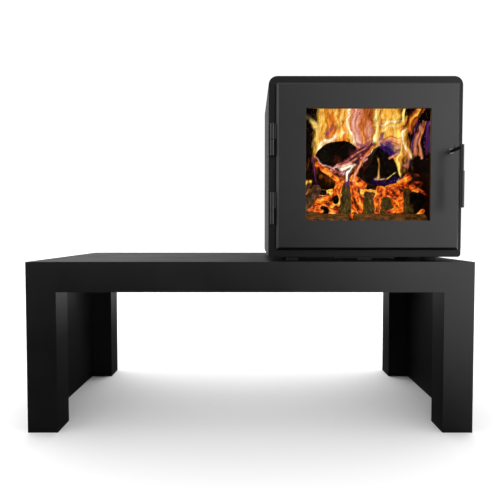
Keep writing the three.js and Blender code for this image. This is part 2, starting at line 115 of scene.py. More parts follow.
def mesh_of(name, vertices, faces):
    mesh = bpy.data.meshes.new(name)
    mesh.from_pydata([tuple(v) for v in vertices], [], faces)
    shape = bmesh.new()
    shape.from_mesh(mesh)
    bmesh.ops.remove_doubles(shape, verts=shape.verts, dist=1e-6)
    bmesh.ops.recalc_face_normals(shape, faces=shape.faces)
    shape.to_mesh(mesh)
    shape.free()
    return mesh


def object_of(name, mesh):
    piece = bpy.data.objects.new(name, mesh)
    scene.collection.objects.link(piece)
    return piece


def ring_faces(rings, count):
    """The faces between neighbouring rings of count points each."""
    faces = []
    for r in range(rings - 1):
        a, b = r * count, (r + 1) * count
        faces += [(a + i, a + (i + 1) % count, b + (i + 1) % count, b + i) for i in range(count)]
    return faces


def loft(name, rings, closed_ends=True):
    """A skin over rings of points that all have the same count."""
    count = len(rings[0])
    vertices = [p for ring in rings for p in ring]
    faces = ring_faces(len(rings), count)
    if closed_ends:
        faces.append(tuple(range(count)))
        faces.append(tuple(range(len(vertices) - count, len(vertices))))
    return object_of(name, mesh_of(name, vertices, faces))


def slab(name, outline, y0, y1):
    return loft(name, [[(x, y, z) for x, z in outline] for y in (y0, y1)])


def block(name, low, high):
    (x0, y0, z0), (x1, y1, z1) = low, high
    return slab(name, [(x0, z0), (x1, z0), (x1, z1), (x0, z1)], y0, y1)


UP = (0, 0, 1)
BACK = (0, 1, 0)


def turned(name, profile, centre, axis, steps=48):
    """A solid of revolution from (radius, distance along the axis) pairs; a tube's last is its first."""
    turn = Vector(UP).rotation_difference(Vector(axis))
    place = Matrix.Translation(centre) @ turn.to_matrix().to_4x4()
    rings = []
    for radius, along in profile:
        angles = [2 * math.pi * i / steps for i in range(steps)]
        rings.append([place @ Vector((radius * math.cos(a), radius * math.sin(a), along)) for a in angles])
    return loft(name, rings, closed_ends=profile[0] != profile[-1])


def rod(name, radius, length, start, axis, steps=40, chamfer=0.1 * MM):
    """A round bar with softened ends, from its start along its axis."""
    end = [
        (radius * 0.02, 0),
        (radius - chamfer, 0),
        (radius - 0.3 * chamfer, 0.3 * chamfer),
        (radius, chamfer),
    ]
    profile = end + [(r, length - along) for r, along in reversed(end)]
    return turned(name, profile, start, axis, steps)


def settle(piece):
    """Applies the piece's modifiers to its mesh."""
    bpy.context.view_layer.update()
    graph = bpy.context.evaluated_depsgraph_get()
    applied = piece.evaluated_get(graph)
    mesh = bpy.data.meshes.new_from_object(applied, preserve_all_data_layers=True, depsgraph=graph)
    piece.modifiers.clear()
    piece.data = mesh
    return piece


def combine(piece, tools, operation="DIFFERENCE"):
    """Cuts the tools from the piece, or joins them to it, and uses them up."""
    for tool in tools:
        step = piece.modifiers.new("combine", "BOOLEAN")
        step.object = tool
        step.operation = operation
        step.solver = "EXACT"
        settle(piece)
        bpy.data.objects.remove(tool)
    return piece


def soften(piece, width, segments=3, angle=30):
    """Rounds every edge sharper than the angle, then shades the piece smooth between sharp edges."""
    step = piece.modifiers.new("soften", "BEVEL")
    step.width = width
    step.segments = segments
    step.limit_method = "ANGLE"
    step.angle_limit = math.radians(angle)
    step.use_clamp_overlap = True
    settle(piece)
    return smooth(piece, 45)


LARGE_FACES_RULE = 90  # percent; at 50 small faces would count as much


def smooth(piece, angle=35):
    """Shades smooth between sharp edges, with large faces ruling the normals so that flats stay flat."""
    piece.data.shade_smooth()
    piece.data.set_sharp_from_angle(angle=math.radians(angle))
    step = piece.modifiers.new("flat_faces", "WEIGHTED_NORMAL")
    step.keep_sharp = True
    step.weight = LARGE_FACES_RULE
    return settle(piece)


def finish_piece(piece, material, body, slot, *nodes):
    """Gives a new piece its material and its body, and hides the CAD nodes that it stands for; the slot is
    not used.
    """
    piece.data.materials.clear()
    piece.data.materials.append(material)
    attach(piece, body)
    if nodes:
        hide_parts(*nodes)
    return piece


# ---- material tools


class Nodes:
    """A small builder of one material's node tree."""

    def __init__(self, name):
        self.material = bpy.data.materials.new(name)
        self.material.use_nodes = True
        self.tree = self.material.node_tree
        self.tree.nodes.clear()
        self.output = self.add("ShaderNodeOutputMaterial")
        self.place = self.add("ShaderNodeTexCoord").outputs["Object"]

    def add(self, kind, inputs=None, **settings):
        """A new node, with its inputs fed by values or by other nodes' outputs."""
        node = self.tree.nodes.new(kind)
        for key, value in settings.items():
            setattr(node, key, value)
        for key, value in (inputs or {}).items():
            self.feed(node.inputs[key], value)
        return node

    def link(self, source, target):
        self.tree.links.new(source, target)

    def feed(self, socket, value):
        if isinstance(value, bpy.types.NodeSocket):
            self.link(value, socket)
        else:
            socket.default_value = value

    def noise(self, scale, detail=3.0, roughness=0.55, distortion=0.0, vector=None):
        values = {"Scale": scale, "Detail": detail, "Roughness": roughness, "Distortion": distortion}
        return self.add("ShaderNodeTexNoise", {"Vector": vector or self.place, **values}).outputs["Fac"]

    def cells(self, scale, feature="F1", output="Distance", vector=None):
        values = {"Vector": vector or self.place, "Scale": scale}
        return self.add("ShaderNodeTexVoronoi", values, feature=feature).outputs[output]

    def stretched(self, x, y, z, vector=None):
        values = {"Vector": vector or self.place, "Scale": (x, y, z)}
        return self.add("ShaderNodeMapping", values).outputs["Vector"]

    def span(self, value, low, high, to_low=0.0, to_high=1.0):
        """A value's run from low to high, carried to a run from to_low to to_high, held at its ends."""
        values = {"Value": value, "From Min": low, "From Max": high, "To Min": to_low, "To Max": to_high}
        return self.add("ShaderNodeMapRange", values).outputs["Result"]

    def spread(self, value, to_low=0.0, to_high=1.0):
        """A noise, which lies mostly between 0.3 and 0.7, carried to a run from to_low to to_high."""
        return self.span(value, 0.3, 0.7, to_low, to_high)

    def maths(self, operation, a, b=0.5, clamp=False):
        node = self.add("ShaderNodeMath", {0: a, 1: b}, operation=operation, use_clamp=clamp)
        return node.outputs["Value"]

    def ramp(self, value, stops):
        node = self.add("ShaderNodeValToRGB", {"Fac": value})
        marks = node.color_ramp.elements
        while len(marks) < len(stops):
            marks.new(0.5)
        for mark, (position, colour) in zip(marks, stops):
            mark.position = position
            mark.color = (*colour, 1)
        return node.outputs["Color"]

    def mix(self, share, a, b, blend="MIX"):
        node = self.add("ShaderNodeMix", {"Factor": share}, data_type="RGBA", blend_type=blend)
        for socket, colour in ((node.inputs[6], a), (node.inputs[7], b)):
            self.feed(socket, colour if isinstance(colour, bpy.types.NodeSocket) else (*colour, 1))
        return node.outputs[2]

    def either(self, share, a, b):
        """Shader b in this share, over shader a."""
        return self.add("ShaderNodeMixShader", {"Fac": share, 1: a, 2: b}).outputs["Shader"]

    def bump(self, height, distance, strength=1.0, under=None):
        node = self.add("ShaderNodeBump", {"Height": height, "Distance": distance, "Strength": strength})
        if under:
            self.link(under, node.inputs["Normal"])
        return node.outputs["Normal"]

    def surface(self, colour, roughness, normal=None, **values):
        shader = self.add("ShaderNodeBsdfPrincipled", {"Base Color": colour, "Roughness": roughness})
        if normal:
            self.link(normal, shader.inputs["Normal"])
        for key, value in values.items():
            self.feed(shader.inputs[key.replace("_", " ")], value)
        self.link(shader.outputs["BSDF"], self.output.inputs["Surface"])
        return self.material


# ---- materials


def stove_paint(name, darkest, specular):
    """Satin black stove paint: a fine powder texture over slightly uneven sheen."""
    n = Nodes(name)
    cloud = n.noise(7, detail=4)
    speck = n.noise(900, detail=2)
    low, high, dust = (tuple(darkest * share * tone for tone in (1, 1, 1.12)) for share in (1, 1.7, 5))
    colour = n.mix(n.spread(cloud), low, high)
    colour = n.mix(n.span(speck, 0.62, 0.8, 0, 0.35), colour, dust)
    roughness = n.maths("ADD", n.spread(cloud, 0.29, 0.37), n.spread(speck, -0.04, 0.06))
    orange_peel = n.bump(n.noise(320, detail=1), 0.00025, 0.25)
    grain = n.bump(speck, 0.00012, 0.5, under=orange_peel)
    return n.surface(colour, roughness, grain, Specular_IOR_Level=specular)


def cast_iron():
    """Sand-cast iron: a fine pitted grain over faint blotches."""
    n = Nodes("cast_iron")
    sand = n.noise(620, detail=3)
    blotch = n.noise(22, detail=4)
    colour = n.mix(n.span(blotch, 0.35, 0.65), (0.018, 0.018, 0.019), (0.045, 0.042, 0.04))
    height = n.maths("ADD", sand, n.span(blotch, 0, 1, 0, 2))
    return n.surface(colour, n.spread(sand, 0.5, 0.75), n.bump(height, 0.0004, 0.8), Metallic=0.3)


def heated_steel():
    """Steel browned and blued by heat, with drawn lines."""
    n = Nodes("heated_steel")
    tint = n.noise(14, detail=3, distortion=1.0)
    lines = n.noise(1, detail=2, vector=n.stretched(40, 900, 900))
    straw, plain, blue = (0.2, 0.16, 0.12), (0.17, 0.165, 0.16), (0.12, 0.13, 0.17)
    colour = n.ramp(tint, [(0.25, straw), (0.5, plain), (0.75, blue)])
    return n.surface(colour, n.spread(lines, 0.28, 0.5), n.bump(lines, 0.0001, 0.4), Metallic=0.9)


def fire_brick():
    """Vermiculite board: flaky grain and pores, nearly hidden by soot."""
    n = Nodes("vermiculite")
    flakes = n.cells(260, output="Color")
    pores = n.noise(180, detail=4)
    soot = n.noise(9, detail=5, distortion=0.6)
    grain = n.add("ShaderNodeSeparateColor", {"Color": flakes})
    dark, tan, pale = (0.13, 0.09, 0.05), (0.3, 0.22, 0.13), (0.46, 0.37, 0.24)
    colour = n.ramp(grain.outputs[0], [(0.1, dark), (0.55, tan), (0.95, pale)])
    colour = n.mix(n.span(soot, 0.35, 0.65, 0.93, 0.99), colour, (0.004, 0.003, 0.003))
    height = n.maths("ADD", pores, n.span(grain.outputs[0], 0, 1, 0, 0.4))
    return n.surface(colour, n.spread(pores, 0.75, 0.95), n.bump(height, 0.0012, 0.8),
                     Specular_IOR_Level=0.15)


def sealing_rope():
    """Knitted glass-fibre rope: crossing strands."""
    n = Nodes("sealing_rope")
    waves = {"Vector": n.place, "Scale": 220, "Distortion": 2.5}
    strands = n.add("ShaderNodeTexWave", waves, wave_type="BANDS", bands_direction="DIAGONAL")
    fuzz = n.noise(900, detail=2)
    colour = n.mix(strands.outputs["Fac"], (0.035, 0.034, 0.033), (0.13, 0.127, 0.12))
    height = n.maths("ADD", strands.outputs["Fac"], n.span(fuzz, 0, 1, 0, 0.5))
    return n.surface(colour, n.spread(fuzz, 0.85, 1.0), n.bump(height, 0.0008, 0.9))


def moulded_plastic():
    n = Nodes("leg_plug_plastic")
    grain = n.noise(500, detail=2)
    colour = n.mix(grain, (0.012, 0.012, 0.012), (0.022, 0.022, 0.022))
    return n.surface(colour, n.spread(grain, 0.5, 0.65), n.bump(grain, 0.0002, 0.6))


PAINT = stove_paint("satin_black_paint", 0.0013, 0.5)
SHADE_DULLED_PAINT = stove_paint("shade_dulled_paint", 0.003, 0.2)  # less gloss, as painted shade: on the front plate, the inner faces of the bench's end plates and the air slide
IRON = cast_iron()
STEEL = heated_steel()
BRICK = fire_brick()
ROPE = sealing_rope()
PLASTIC = moulded_plastic()

# ---- bench


def grown(node, front=0, back=0, up=0):
    """A block over a CAD node's box, longer at the named sides so that it meets its neighbour."""
    low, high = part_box(node)
    return block(node + "_blank", low - Vector((0, front, 0)), high + Vector((0, back, up)))


def make_bench():
    """The bench is welded and ground flush, so it is one skin with small rounded edges."""
    meet = 1 * MM  # the frame's parts are grown by this much into their neighbours
    bench = grown("bench_top_sheet")
    parts = [grown("bench_beam_front", up=meet), grown("bench_beam_rear", up=meet)]
    for side in ("left", "right"):
        parts.append(grown(f"bench_rail_{side}", front=meet, back=meet, up=meet))
        parts.append(grown(f"bench_side_panel_{side}", front=meet, back=meet, up=meet))
        parts += [grown(f"bench_leg_{end}_{side}", up=meet) for end in ("front", "rear")]
    combine(bench, parts, "UNION")
    bench.name = "bench_welded_frame"
    soften(bench, 1.8 * MM)
    nodes = [n for n in frame["nodes"] if n.startswith("bench_") and "plug" not in n]
    finish_piece(bench, PAINT, "stove_body", "black_paint", *nodes)
    bench.data.materials.append(SHADE_DULLED_PAINT)
    panel_inner = abs(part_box("bench_side_panel_right")[0].x)
    for face in bench.data.polygons:
        on_panel = abs(abs(face.center.x) - panel_inner) < meet
        faces_inwards = abs(face.normal.x) > 0.9 and face.normal.x * face.center.x < 0
        if on_panel and faces_inwards:
            face.material_index = 1  # the second material: less gloss, as painted shade, on the inner faces of the end plates


make_bench()

# ---- stove body

TOP_RADIUS = 24 * MM
BASE_RADIUS = 9 * MM
THROUGH = 10 * MM  # how far a cutting tool stands out of what it cuts


def middle(node):
    low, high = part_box(node)
    return (low + high) / 2


def body_outline(node, inset=0.0):
    low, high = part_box(node)
    top, base = TOP_RADIUS - inset, max(BASE_RADIUS - inset, 1 * MM)
    return rounded_outline(low.x + inset, high.x - inset, low.z + inset, high.z - inset, top, base)


def make_casing():
    low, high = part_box("casing")
    wall = 4 * MM
    casing = slab("stove_casing", body_outline("casing"), low.y, high.y)
    tunnel = slab("tunnel", body_outline("casing", wall), low.y - wall, high.y + wall)
    combine(casing, [tunnel])
    soften(casing, 0.5 * MM, segments=2)
    finish_piece(casing, PAINT, "stove_body", "black_paint", "casing")


ROPE_WIDTH = 9 * MM


def make_front_plate():
    low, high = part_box("front_plate")
    plate = slab("stove_front_plate", body_outline("front_plate"), low.y, high.y)
    seal_low, seal_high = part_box("door_rope_seal")
    in_x, in_z = ROPE_WIDTH + 1.8 * MM, ROPE_WIDTH + 2.3 * MM  # the rope laps the plate all round the mouth
    mouth = rounded_outline(
        seal_low.x + in_x, seal_high.x - in_x, seal_low.z + in_z, seal_high.z - in_z, 4 * MM, 4 * MM
    )
    tongue_low, tongue_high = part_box("latch_tongue")
    out_x, out_z = 3 * MM, 6 * MM  # the tongue's play in its slot
    slot = rounded_outline(
        tongue_low.x - out_x,
        tongue_high.x + out_x,
        tongue_low.z - out_z,
        tongue_high.z + out_z,
        3 * MM,
        3 * MM,
        steps=4,
    )
    combine(plate, [slab("cut", outline, low.y - THROUGH, high.y + THROUGH) for outline in (mouth, slot)])
    soften(plate, 1.0 * MM)
    # The whole front plate takes the duller paint: painted shade, for the dark strip under the door.
    finish_piece(plate, SHADE_DULLED_PAINT, "stove_body", "black_paint", "front_plate")


def make_back_plate():
    low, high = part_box("back_plate")
    centre = middle("flue_collar")
    plate = slab("stove_back_plate", body_outline("back_plate"), low.y, high.y)
    hole = rod("hole", 70 * MM, 2 * THROUGH, (centre.x, low.y - THROUGH, centre.z), BACK, steps=64)
    combine(plate, [hole])
    soften(plate, 0.8 * MM, segments=2)
    finish_piece(plate, PAINT, "stove_body", "black_paint", "back_plate")


def make_flue_collar():
    low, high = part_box("flue_collar")
    centre = middle("flue_collar")
    flange, outer, wall = (high.x - low.x) / 2, 75 * MM, 3 * MM
    length, lip, fillet = high.y - low.y, 3 * MM, 2.5 * MM
    inner = outer - wall
    profile = [
        (inner, 0.4 * MM),
        (inner + 0.4 * MM, 0),
        (flange - 0.6 * MM, 0),
        (flange, 0.6 * MM),
        (flange, lip - 0.8 * MM),
        (flange - 0.8 * MM, lip),
        (outer + fillet, lip),
        (outer + 0.3 * fillet, lip + 0.3 * fillet),
        (outer, lip + fillet),
        (outer, length - 1 * MM),
        (outer - 0.6 * MM, length),
        (inner + 0.6 * MM, length),
        (inner, length - 0.6 * MM),
        (inner, 0.4 * MM),
    ]
    collar = turned("flue_spigot", profile, (centre.x, low.y, centre.z), BACK, steps=72)
    smooth(collar)
    finish_piece(collar, IRON, "stove_body", "cast_iron", "flue_collar")


make_casing()
make_front_plate()
make_back_plate()
make_flue_collar()

# ---- door

DOOR_CHAMFER = 6.5 * MM


def inset_ring(low, high, inset, y, corner):
    x0, x1, z0, z1 = low.x + inset, high.x - inset, low.z + inset, high.z - inset
    return [(x, y, z) for x, z in rounded_outline(x0, x1, z0, z1, corner, corner, steps=3)]


def framed(name, low, high, out, y0, y1):
    """A block over a box seen from the front, larger by out on all four sides, from y0 back to y1."""
    return block(name, (low.x - out, y0, low.z - out), (high.x + out, y1, high.z + out))


def joint_place(name):
    return Vector(next(joint["pos_m"] for joint in frame["joints"] if joint["name"] == name))


def make_door():
    """A cast frame: bevelled front edge, window, seat for the glass, groove for the rope, spindle hole."""
    low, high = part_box("door_panel")
    glass_low, glass_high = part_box("door_glass")
    rope_low, rope_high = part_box("door_rope_seal")
    soft = 1.2 * MM  # how far each end of the bevel is rounded
    rings = [
        inset_ring(low, high, 0.5 * MM, high.y, 2 * MM),
        inset_ring(low, high, 0, high.y - 0.5 * MM, 2.5 * MM),
        inset_ring(low, high, 0, low.y + DOOR_CHAMFER + soft, 2.5 * MM),
        inset_ring(low, high, 0.35 * soft, low.y + DOOR_CHAMFER, 2.4 * MM),
        inset_ring(low, high, DOOR_CHAMFER, low.y + 0.35 * soft, 1.6 * MM),
        inset_ring(low, high, DOOR_CHAMFER + soft, low.y, 1.2 * MM),
    ]
    door = loft("door_casting", rings)
    window = framed("window", glass_low, glass_high, -12 * MM, low.y - THROUGH, high.y + THROUGH)
    seat = block("seat", glass_low - Vector((1, 4, 1)) * MM, glass_high + Vector((1, 5, 1)) * MM)
    play = 0.3 * MM
    groove = framed("groove", rope_low, rope_high, play, high.y - 6 * MM, high.y + THROUGH)
    within = -ROPE_WIDTH - play
    core = framed("core", rope_low, rope_high, within, high.y - 2 * THROUGH, high.y + 2 * THROUGH)
    combine(groove, [core])
    centre = middle("spindle_bush")
    drill = rod("drill", 7.4 * MM, 3 * THROUGH, (centre.x, low.y - THROUGH / 2, centre.z), BACK)
    combine(door, [window, seat, groove, drill])
    soften(door, 0.7 * MM, segments=2, angle=50)
    finish_piece(door, PAINT, "door", "black_paint", "door_panel")


make_door()


def knuckle(body, part, end):
    """A hinge knuckle: a round barrel with a leaf to the door beside it or a bracket to the body behind."""
    node = f"hinge_knuckle_{part}_{end}"
    low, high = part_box(node)
    x, y, _ = joint_place("door_hinge")
    length = high.z - low.z
    barrel = rod(f"hinge_barrel_{part}_{end}", 6.5 * MM, length, (x, y, low.z), UP, chamfer=0.9 * MM)
    z0, z1 = low.z + 0.4 * MM, high.z - 0.4 * MM
    if part == "door":
        tab = block("tab", (x, y - 3 * MM, z0), (high.x, y + 3.5 * MM, z1))
    else:
        tab = block("tab", (x - 3.5 * MM, y, z0), (x + 3.5 * MM, high.y, z1))
    combine(barrel, [tab], "UNION")
    # The pin's hole is open below in the door's knuckle and blind in the body's.
    hole_start = low.z + (-0.5 * MM if part == "door" else 3 * MM)
    drill = rod("drill", 3.3 * MM, length - 3 * MM, (x, y, hole_start), UP, steps=32)
    combine(barrel, [drill])
    smooth(barrel)
    finish_piece(barrel, PAINT, body, "black_paint", node)


for end in ("lower", "upper"):
    knuckle("stove_body", "body", end)
    knuckle("door", "door", end)


def make_handle():
    """A spindle through the door, a bar that hangs from it, and a thicker grip on the bar's lower end."""
    low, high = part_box("handle_lever")
    grip_low, grip_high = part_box("handle_grip")
    x, _, z = joint_place("handle_turn")
    bar_radius, spindle_radius, grip_radius = 4.75 * MM, 4.5 * MM, 6.5 * MM
    bar_y = low.y + bar_radius
    bar = rod("door_handle_lever", bar_radius, high.z - low.z, (x, bar_y, low.z), UP, chamfer=1.2 * MM)
    spindle = rod("spindle", spindle_radius, high.y - bar_y, (x, bar_y, z), BACK, chamfer=0.6 * MM)
    combine(bar, [spindle], "UNION")
    soften(bar, 0.6 * MM, segments=2, angle=40)
    finish_piece(bar, PAINT, "handle", "black_paint", "handle_lever")
    length = grip_high.z - grip_low.z
    inner = bar_radius + 0.3 * MM  # the bar's socket, open at the top
    profile = [
        (0.2 * MM, 1.4 * MM),
        (grip_radius - 2.6 * MM, 1.4 * MM),
        (grip_radius - 2.2 * MM, 0.2 * MM),
        (grip_radius - 1.0 * MM, 0),
        (grip_radius - 0.25 * MM, 0.3 * MM),
        (grip_radius, 1.0 * MM),
        (grip_radius, length - 1.0 * MM),
        (grip_radius - 0.25 * MM, length - 0.3 * MM),
        (grip_radius - 0.8 * MM, length),
        (inner, length),
        (inner, 4.2 * MM),
        (0.2 * MM, 4.2 * MM),
    ]
    grip = turned("door_handle_grip", profile, (x, bar_y, grip_low.z), UP, steps=40)
    smooth(grip)
    finish_piece(grip, PAINT, "handle", "black_paint", "handle_grip")


make_handle()

# ---- CAD nodes that keep their shape

# start of the nodes' names, material, and how far their edges are rounded in millimetres
KEPT = (
    ("stove_foot", IRON, 1.0),
    ("bench_leg_plug", PLASTIC, 0.8),
    ("fire_brick", BRICK, 1.5),
    ("baffle_plate", BRICK, 1.5),
    ("hearth_block", BRICK, 1.5),
    ("grate", IRON, 1.0),
    ("ash_pan", STEEL, 0.4),
    ("log_guard", IRON, 0.8),
    ("airwash_deflector", STEEL, 0.5),
    ("latch_keeper", STEEL, 0.6),
    # the air slide's duller paint is painted shade in the dark gap under the stove
    ("air_slide", SHADE_DULLED_PAINT, 0.4),
    ("hinge_pin", STEEL, 0.5),
    ("glass_clip", STEEL, 0.5),
    ("spindle_bush", STEEL, 0.3),
    ("handle_stop_pin", PAINT, 0.4),
    ("latch_tongue", STEEL, 0.6),
    ("spindle_nut", STEEL, 0.6),
    ("glass_gasket", ROPE, 0.8),
    ("door_rope_seal", ROPE, 2.5),
)


def dress(start, material, edge_mm):
    """Gives the CAD nodes of that name their material and rounded edges, without changing their meshes."""
    for name, piece in frame["nodes"].items():
        if not name.startswith(start):
            continue
        for slot in piece.material_slots:
            slot.material = material
        step = piece.modifiers.new("rounded_edges", "BEVEL")
        step.width = edge_mm * MM
        step.segments = 2
        step.limit_method = "ANGLE"
        step.angle_limit = math.radians(40)


for start, material, edge_mm in KEPT:
    dress(start, material, edge_mm)

# ---- the fire: places and shapes

STOVE = Vector((middle("flue_collar").x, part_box("front_plate")[0].y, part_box("casing")[0].z))


def at(x, y, z):
    """A place in millimetres right of, behind and above the middle of the stove's lower front edge."""
    return STOVE + Vector((x, y, z)) * MM


def linear(r, g, b):
    """A screen colour, 0 to 1, as the linear light that a shader takes."""
    return tuple(c / 12.92 if c < 0.04 else ((c + 0.055) / 1.055) ** 2.4 for c in (r, g, b))


def roughened(point, seed, size, amount):
    """How far a point at this place moves out or in: two sizes of noise, in units of amount."""
    shift = Vector((seed * 7.1, seed * 3.7, seed * 5.3))
    coarse = noise.noise(point / size + shift)
    fine = noise.noise(point * 3.1 / size + shift)
    return amount * (coarse + 0.45 * fine)


def stick(name, start, end, outline, seed, rough=0.18, taper=0.15, rings=26, ends=0.12):
    """A piece of wood between two places. Outline is (across, up) pairs; grain runs along it."""
    along = (end - start).normalized()
    across = along.cross(Vector((0, 0, 1)))
    across = across.normalized() if across.length > 0.2 else along.cross(Vector((0, 1, 0))).normalized()
    across = across if across.x > 0 else -across
    up = across.cross(along)
    up = up if up.z > 0 else -up
    size = max(math.hypot(*p) for p in outline)
    skin, grain, heat = [], [], []
    for r in range(rings + 1):
        t = r / rings
        edge = min(t, 1 - t) / ends  # under 1 where the stick rounds off to its end
        reach = (1 - taper * t) * (1 if edge > 1 else 0.35 + 0.65 * math.sqrt(1 - (1 - edge) ** 2))
        centre = start.lerp(end, t)
        ring = []
        for i, (a, b) in enumerate(outline):
            point = centre + (across * a + up * b) * reach
            out = (across * a + up * b).normalized()
            ring.append(point + out * roughened(point, seed, size * 0.55, rough * size))
            grain.append(((end - start).length * t, 2 * math.pi * size * i / len(outline), seed * 0.37))
            heat.append(noise.noise(point * 28 + Vector((seed, 0, 0))))
        skin.append(ring)
    piece = object_of(name, bpy.data.meshes.new(name))
    count = len(outline)
    faces = [tuple(range(count)), tuple(range(rings * count, (rings + 1) * count))]
    faces += ring_faces(rings + 1, count)
    piece.data.from_pydata([tuple(p) for ring in skin for p in ring], [], faces)
    set_values(piece, "grain", "FLOAT_VECTOR", grain)
    set_values(piece, "coal_heat", "FLOAT", heat)
    shape = bmesh.new()
    shape.from_mesh(piece.data)
    bmesh.ops.recalc_face_normals(shape, faces=shape.faces)
    shape.to_mesh(piece.data)
    shape.free()
    return smooth(piece, 60)


def set_values(piece, name, kind, values):
    field = {"FLOAT": "value", "FLOAT_VECTOR": "vector", "FLOAT_COLOR": "color"}[kind]
    attribute = piece.data.attributes.new(name, kind, "POINT")
    attribute.data.foreach_set(field, np.asarray(values, dtype=np.float32).ravel())


def oval(half_width, half_height, tilt=0.0, corner=0.0, sides=28):
    """An ellipse, turned by tilt; corner pulls it out into three rounded corners."""
    points = []
    for i in range(sides):
        a = 2 * math.pi * i / sides
        reach = 1 + corner * math.cos(3 * (a - math.pi / 2))
        x, z = half_width * reach * math.cos(a), half_height * reach * math.sin(a)
        points.append((x * math.cos(tilt) - z * math.sin(tilt), x * math.sin(tilt) + z * math.cos(tilt)))
    return [(x * MM, z * MM) for x, z in points]


def joined(name, pieces):
    shape = bmesh.new()
    for piece in pieces:
        shape.from_mesh(piece.data)
        bpy.data.objects.remove(piece)
    mesh = bpy.data.meshes.new(name)
    shape.to_mesh(mesh)
    shape.free()
    return object_of(name, mesh)


# ---- the fire: materials


def attribute(n, name, output):
    node = n.add("ShaderNodeAttribute", attribute_name=name)
    return node.outputs[output]


def along_grain(n, along, around):
    """Coordinates that follow each stick: lengthwise, then round it."""
    return n.stretched(along, around, 1, attribute(n, "grain", "Vector"))


COAL_HEAT = [
    (0.26, (0.0, 0.0, 0.0)),
    (0.38, linear(0.30, 0.04, 0.01)),
    (0.50, linear(0.76, 0.20, 0.02)),
    (0.64, linear(0.98, 0.43, 0.07)),
    (0.80, linear(1.0, 0.66, 0.15)),
    (1.0, linear(1.0, 0.90, 0.45)),
]


def glowing_coal():
    """Coals: yellow-hot in the cracks, red at the rims, with black crust and pale ash on top."""
    n = Nodes("glowing_coal")
    crust = n.noise(70, detail=4, roughness=0.55, distortion=0.5)
    fine = n.noise(300, detail=3, roughness=0.6)
    heat = n.maths("ADD", attribute(n, "coal_heat", "Fac"), n.spread(crust, -0.28, 0.36))
    heat = n.maths("ADD", heat, n.spread(fine, -0.16, 0.14))
    crusted, dusty, pale = (0.006, 0.004, 0.003), (0.05, 0.035, 0.025), (0.2, 0.15, 0.12)
    ash = n.ramp(fine, [(0.35, crusted), (0.6, dusty), (0.8, pale)])
    glow = n.ramp(heat, COAL_HEAT)
    return n.surface(ash, n.spread(crust, 0.8, 1.0), n.bump(crust, 0.004, 0.9), Emission_Color=glow,
                     Emission_Strength=1.0)


def charred_log():
    """Charcoal in crocodile scales, glowing faintly in the gaps where the heat attribute is high."""
    n = Nodes("charred_log")
    scales = n.cells(62, feature="DISTANCE_TO_EDGE", vector=along_grain(n, 1.0, 1.6))
    fibres = n.noise(1, detail=3, vector=along_grain(n, 60, 420))
    colour = n.mix(n.span(fibres, 0.35, 0.7), (0.0015, 0.0014, 0.0016), (0.009, 0.007, 0.006))
    gap = n.span(scales, 0.0, 0.05, 1.0, 0.0)
    heat = n.maths("MULTIPLY", gap, n.span(attribute(n, "coal_heat", "Fac"), 0.1, 0.5, 0, 0.62))
    glow = n.ramp(heat, COAL_HEAT)
    height = n.maths("ADD", n.span(scales, 0, 0.12), n.span(fibres, 0, 1, 0, 0.25))
    return n.surface(colour, n.spread(fibres, 0.6, 0.9), n.bump(height, 0.003, 1.0), Emission_Color=glow,
                     Emission_Strength=0.8, Specular_IOR_Level=0.12)


def glowing_brand(name, stops, strength):
    """A burning stick: bright lines along its grain between darker ones."""
    n = Nodes(name)
    lines = n.noise(1, detail=4, roughness=0.6, distortion=0.9, vector=along_grain(n, 34, 95))
    patches = n.noise(55, detail=4, roughness=0.6)
    heat = n.maths("ADD", n.spread(lines, 0.3, 0.82), n.spread(patches, -0.32, 0.36))
    colour = n.mix(lines, (0.004, 0.003, 0.003), (0.03, 0.018, 0.012))
    return n.surface(colour, n.spread(lines, 0.7, 1.0), n.bump(heat, 0.004, 0.9),
                     Emission_Color=n.ramp(heat, stops), Emission_Strength=strength)


def old_bark(name, dark, mid, light):
    """Rough bark with long furrows and mossy patches; it glows faintly in its own colour, as painted
    firelight.
    """
    n = Nodes(name)
    furrows = n.noise(1, detail=4, roughness=0.65, distortion=0.5, vector=along_grain(n, 45, 210))
    patches = n.noise(75, detail=3)
    shade = n.maths("ADD", n.spread(furrows, 0, 0.7), n.spread(patches, -0.15, 0.3))
    colour = n.ramp(shade, [(0.15, dark), (0.5, mid), (0.9, light)])
    # The emission is painted firelight: the bark's own colour, at a little over half strength.
    return n.surface(colour, n.spread(furrows, 0.75, 1.0), n.bump(furrows, 0.005, 1.0),
                     Emission_Color=colour, Emission_Strength=0.55)


COAL = glowing_coal()
CHAR = charred_log()
BRAND = glowing_brand("burning_brand", COAL_HEAT, 1.0)
VIOLET_HEAT = [
    (0.30, linear(0.09, 0.03, 0.08)),
    (0.48, linear(0.26, 0.09, 0.22)),
    (0.60, linear(0.48, 0.15, 0.18)),
    (0.76, linear(0.80, 0.36, 0.30)),
    (0.95, linear(1.0, 0.82, 0.84)),
]
VIOLET_BRAND = glowing_brand("gas_lit_brand", VIOLET_HEAT, 0.7)
MOSSY = old_bark("mossy_bark", linear(0.05, 0.03, 0.01), linear(0.27, 0.20, 0.03), linear(0.50, 0.42, 0.12))
DAMP = old_bark("damp_bark", linear(0.08, 0.04, 0.01), linear(0.36, 0.21, 0.03), linear(0.55, 0.38, 0.10))
DRY = old_bark("scorched_bark", linear(0.07, 0.04, 0.03), linear(0.33, 0.2, 0.1), linear(0.62, 0.45, 0.28))

# ---- the fire: wood and coals


def make_upper_logs():
    logs = (
        ("left", at(-60, 121, 306), at(-34, 289, 276), oval(62, 40, 0.2, sides=72), 3, 0.06, 0.04),
        ("right", at(82, 121, 261), at(96, 289, 282), oval(50, 55, 0.06, 0.22, sides=72), 8, 0.05, 0.02),
    )
    for side, start, end, outline, seed, rough, taper in logs:
        name = f"charred_log_{side}"
        piece = stick(name, start, end, outline, seed, rough, taper, rings=60, ends=0.02)
        finish_piece(piece, CHAR, "stove_body", "charred_wood", f"log_upper_{side}")


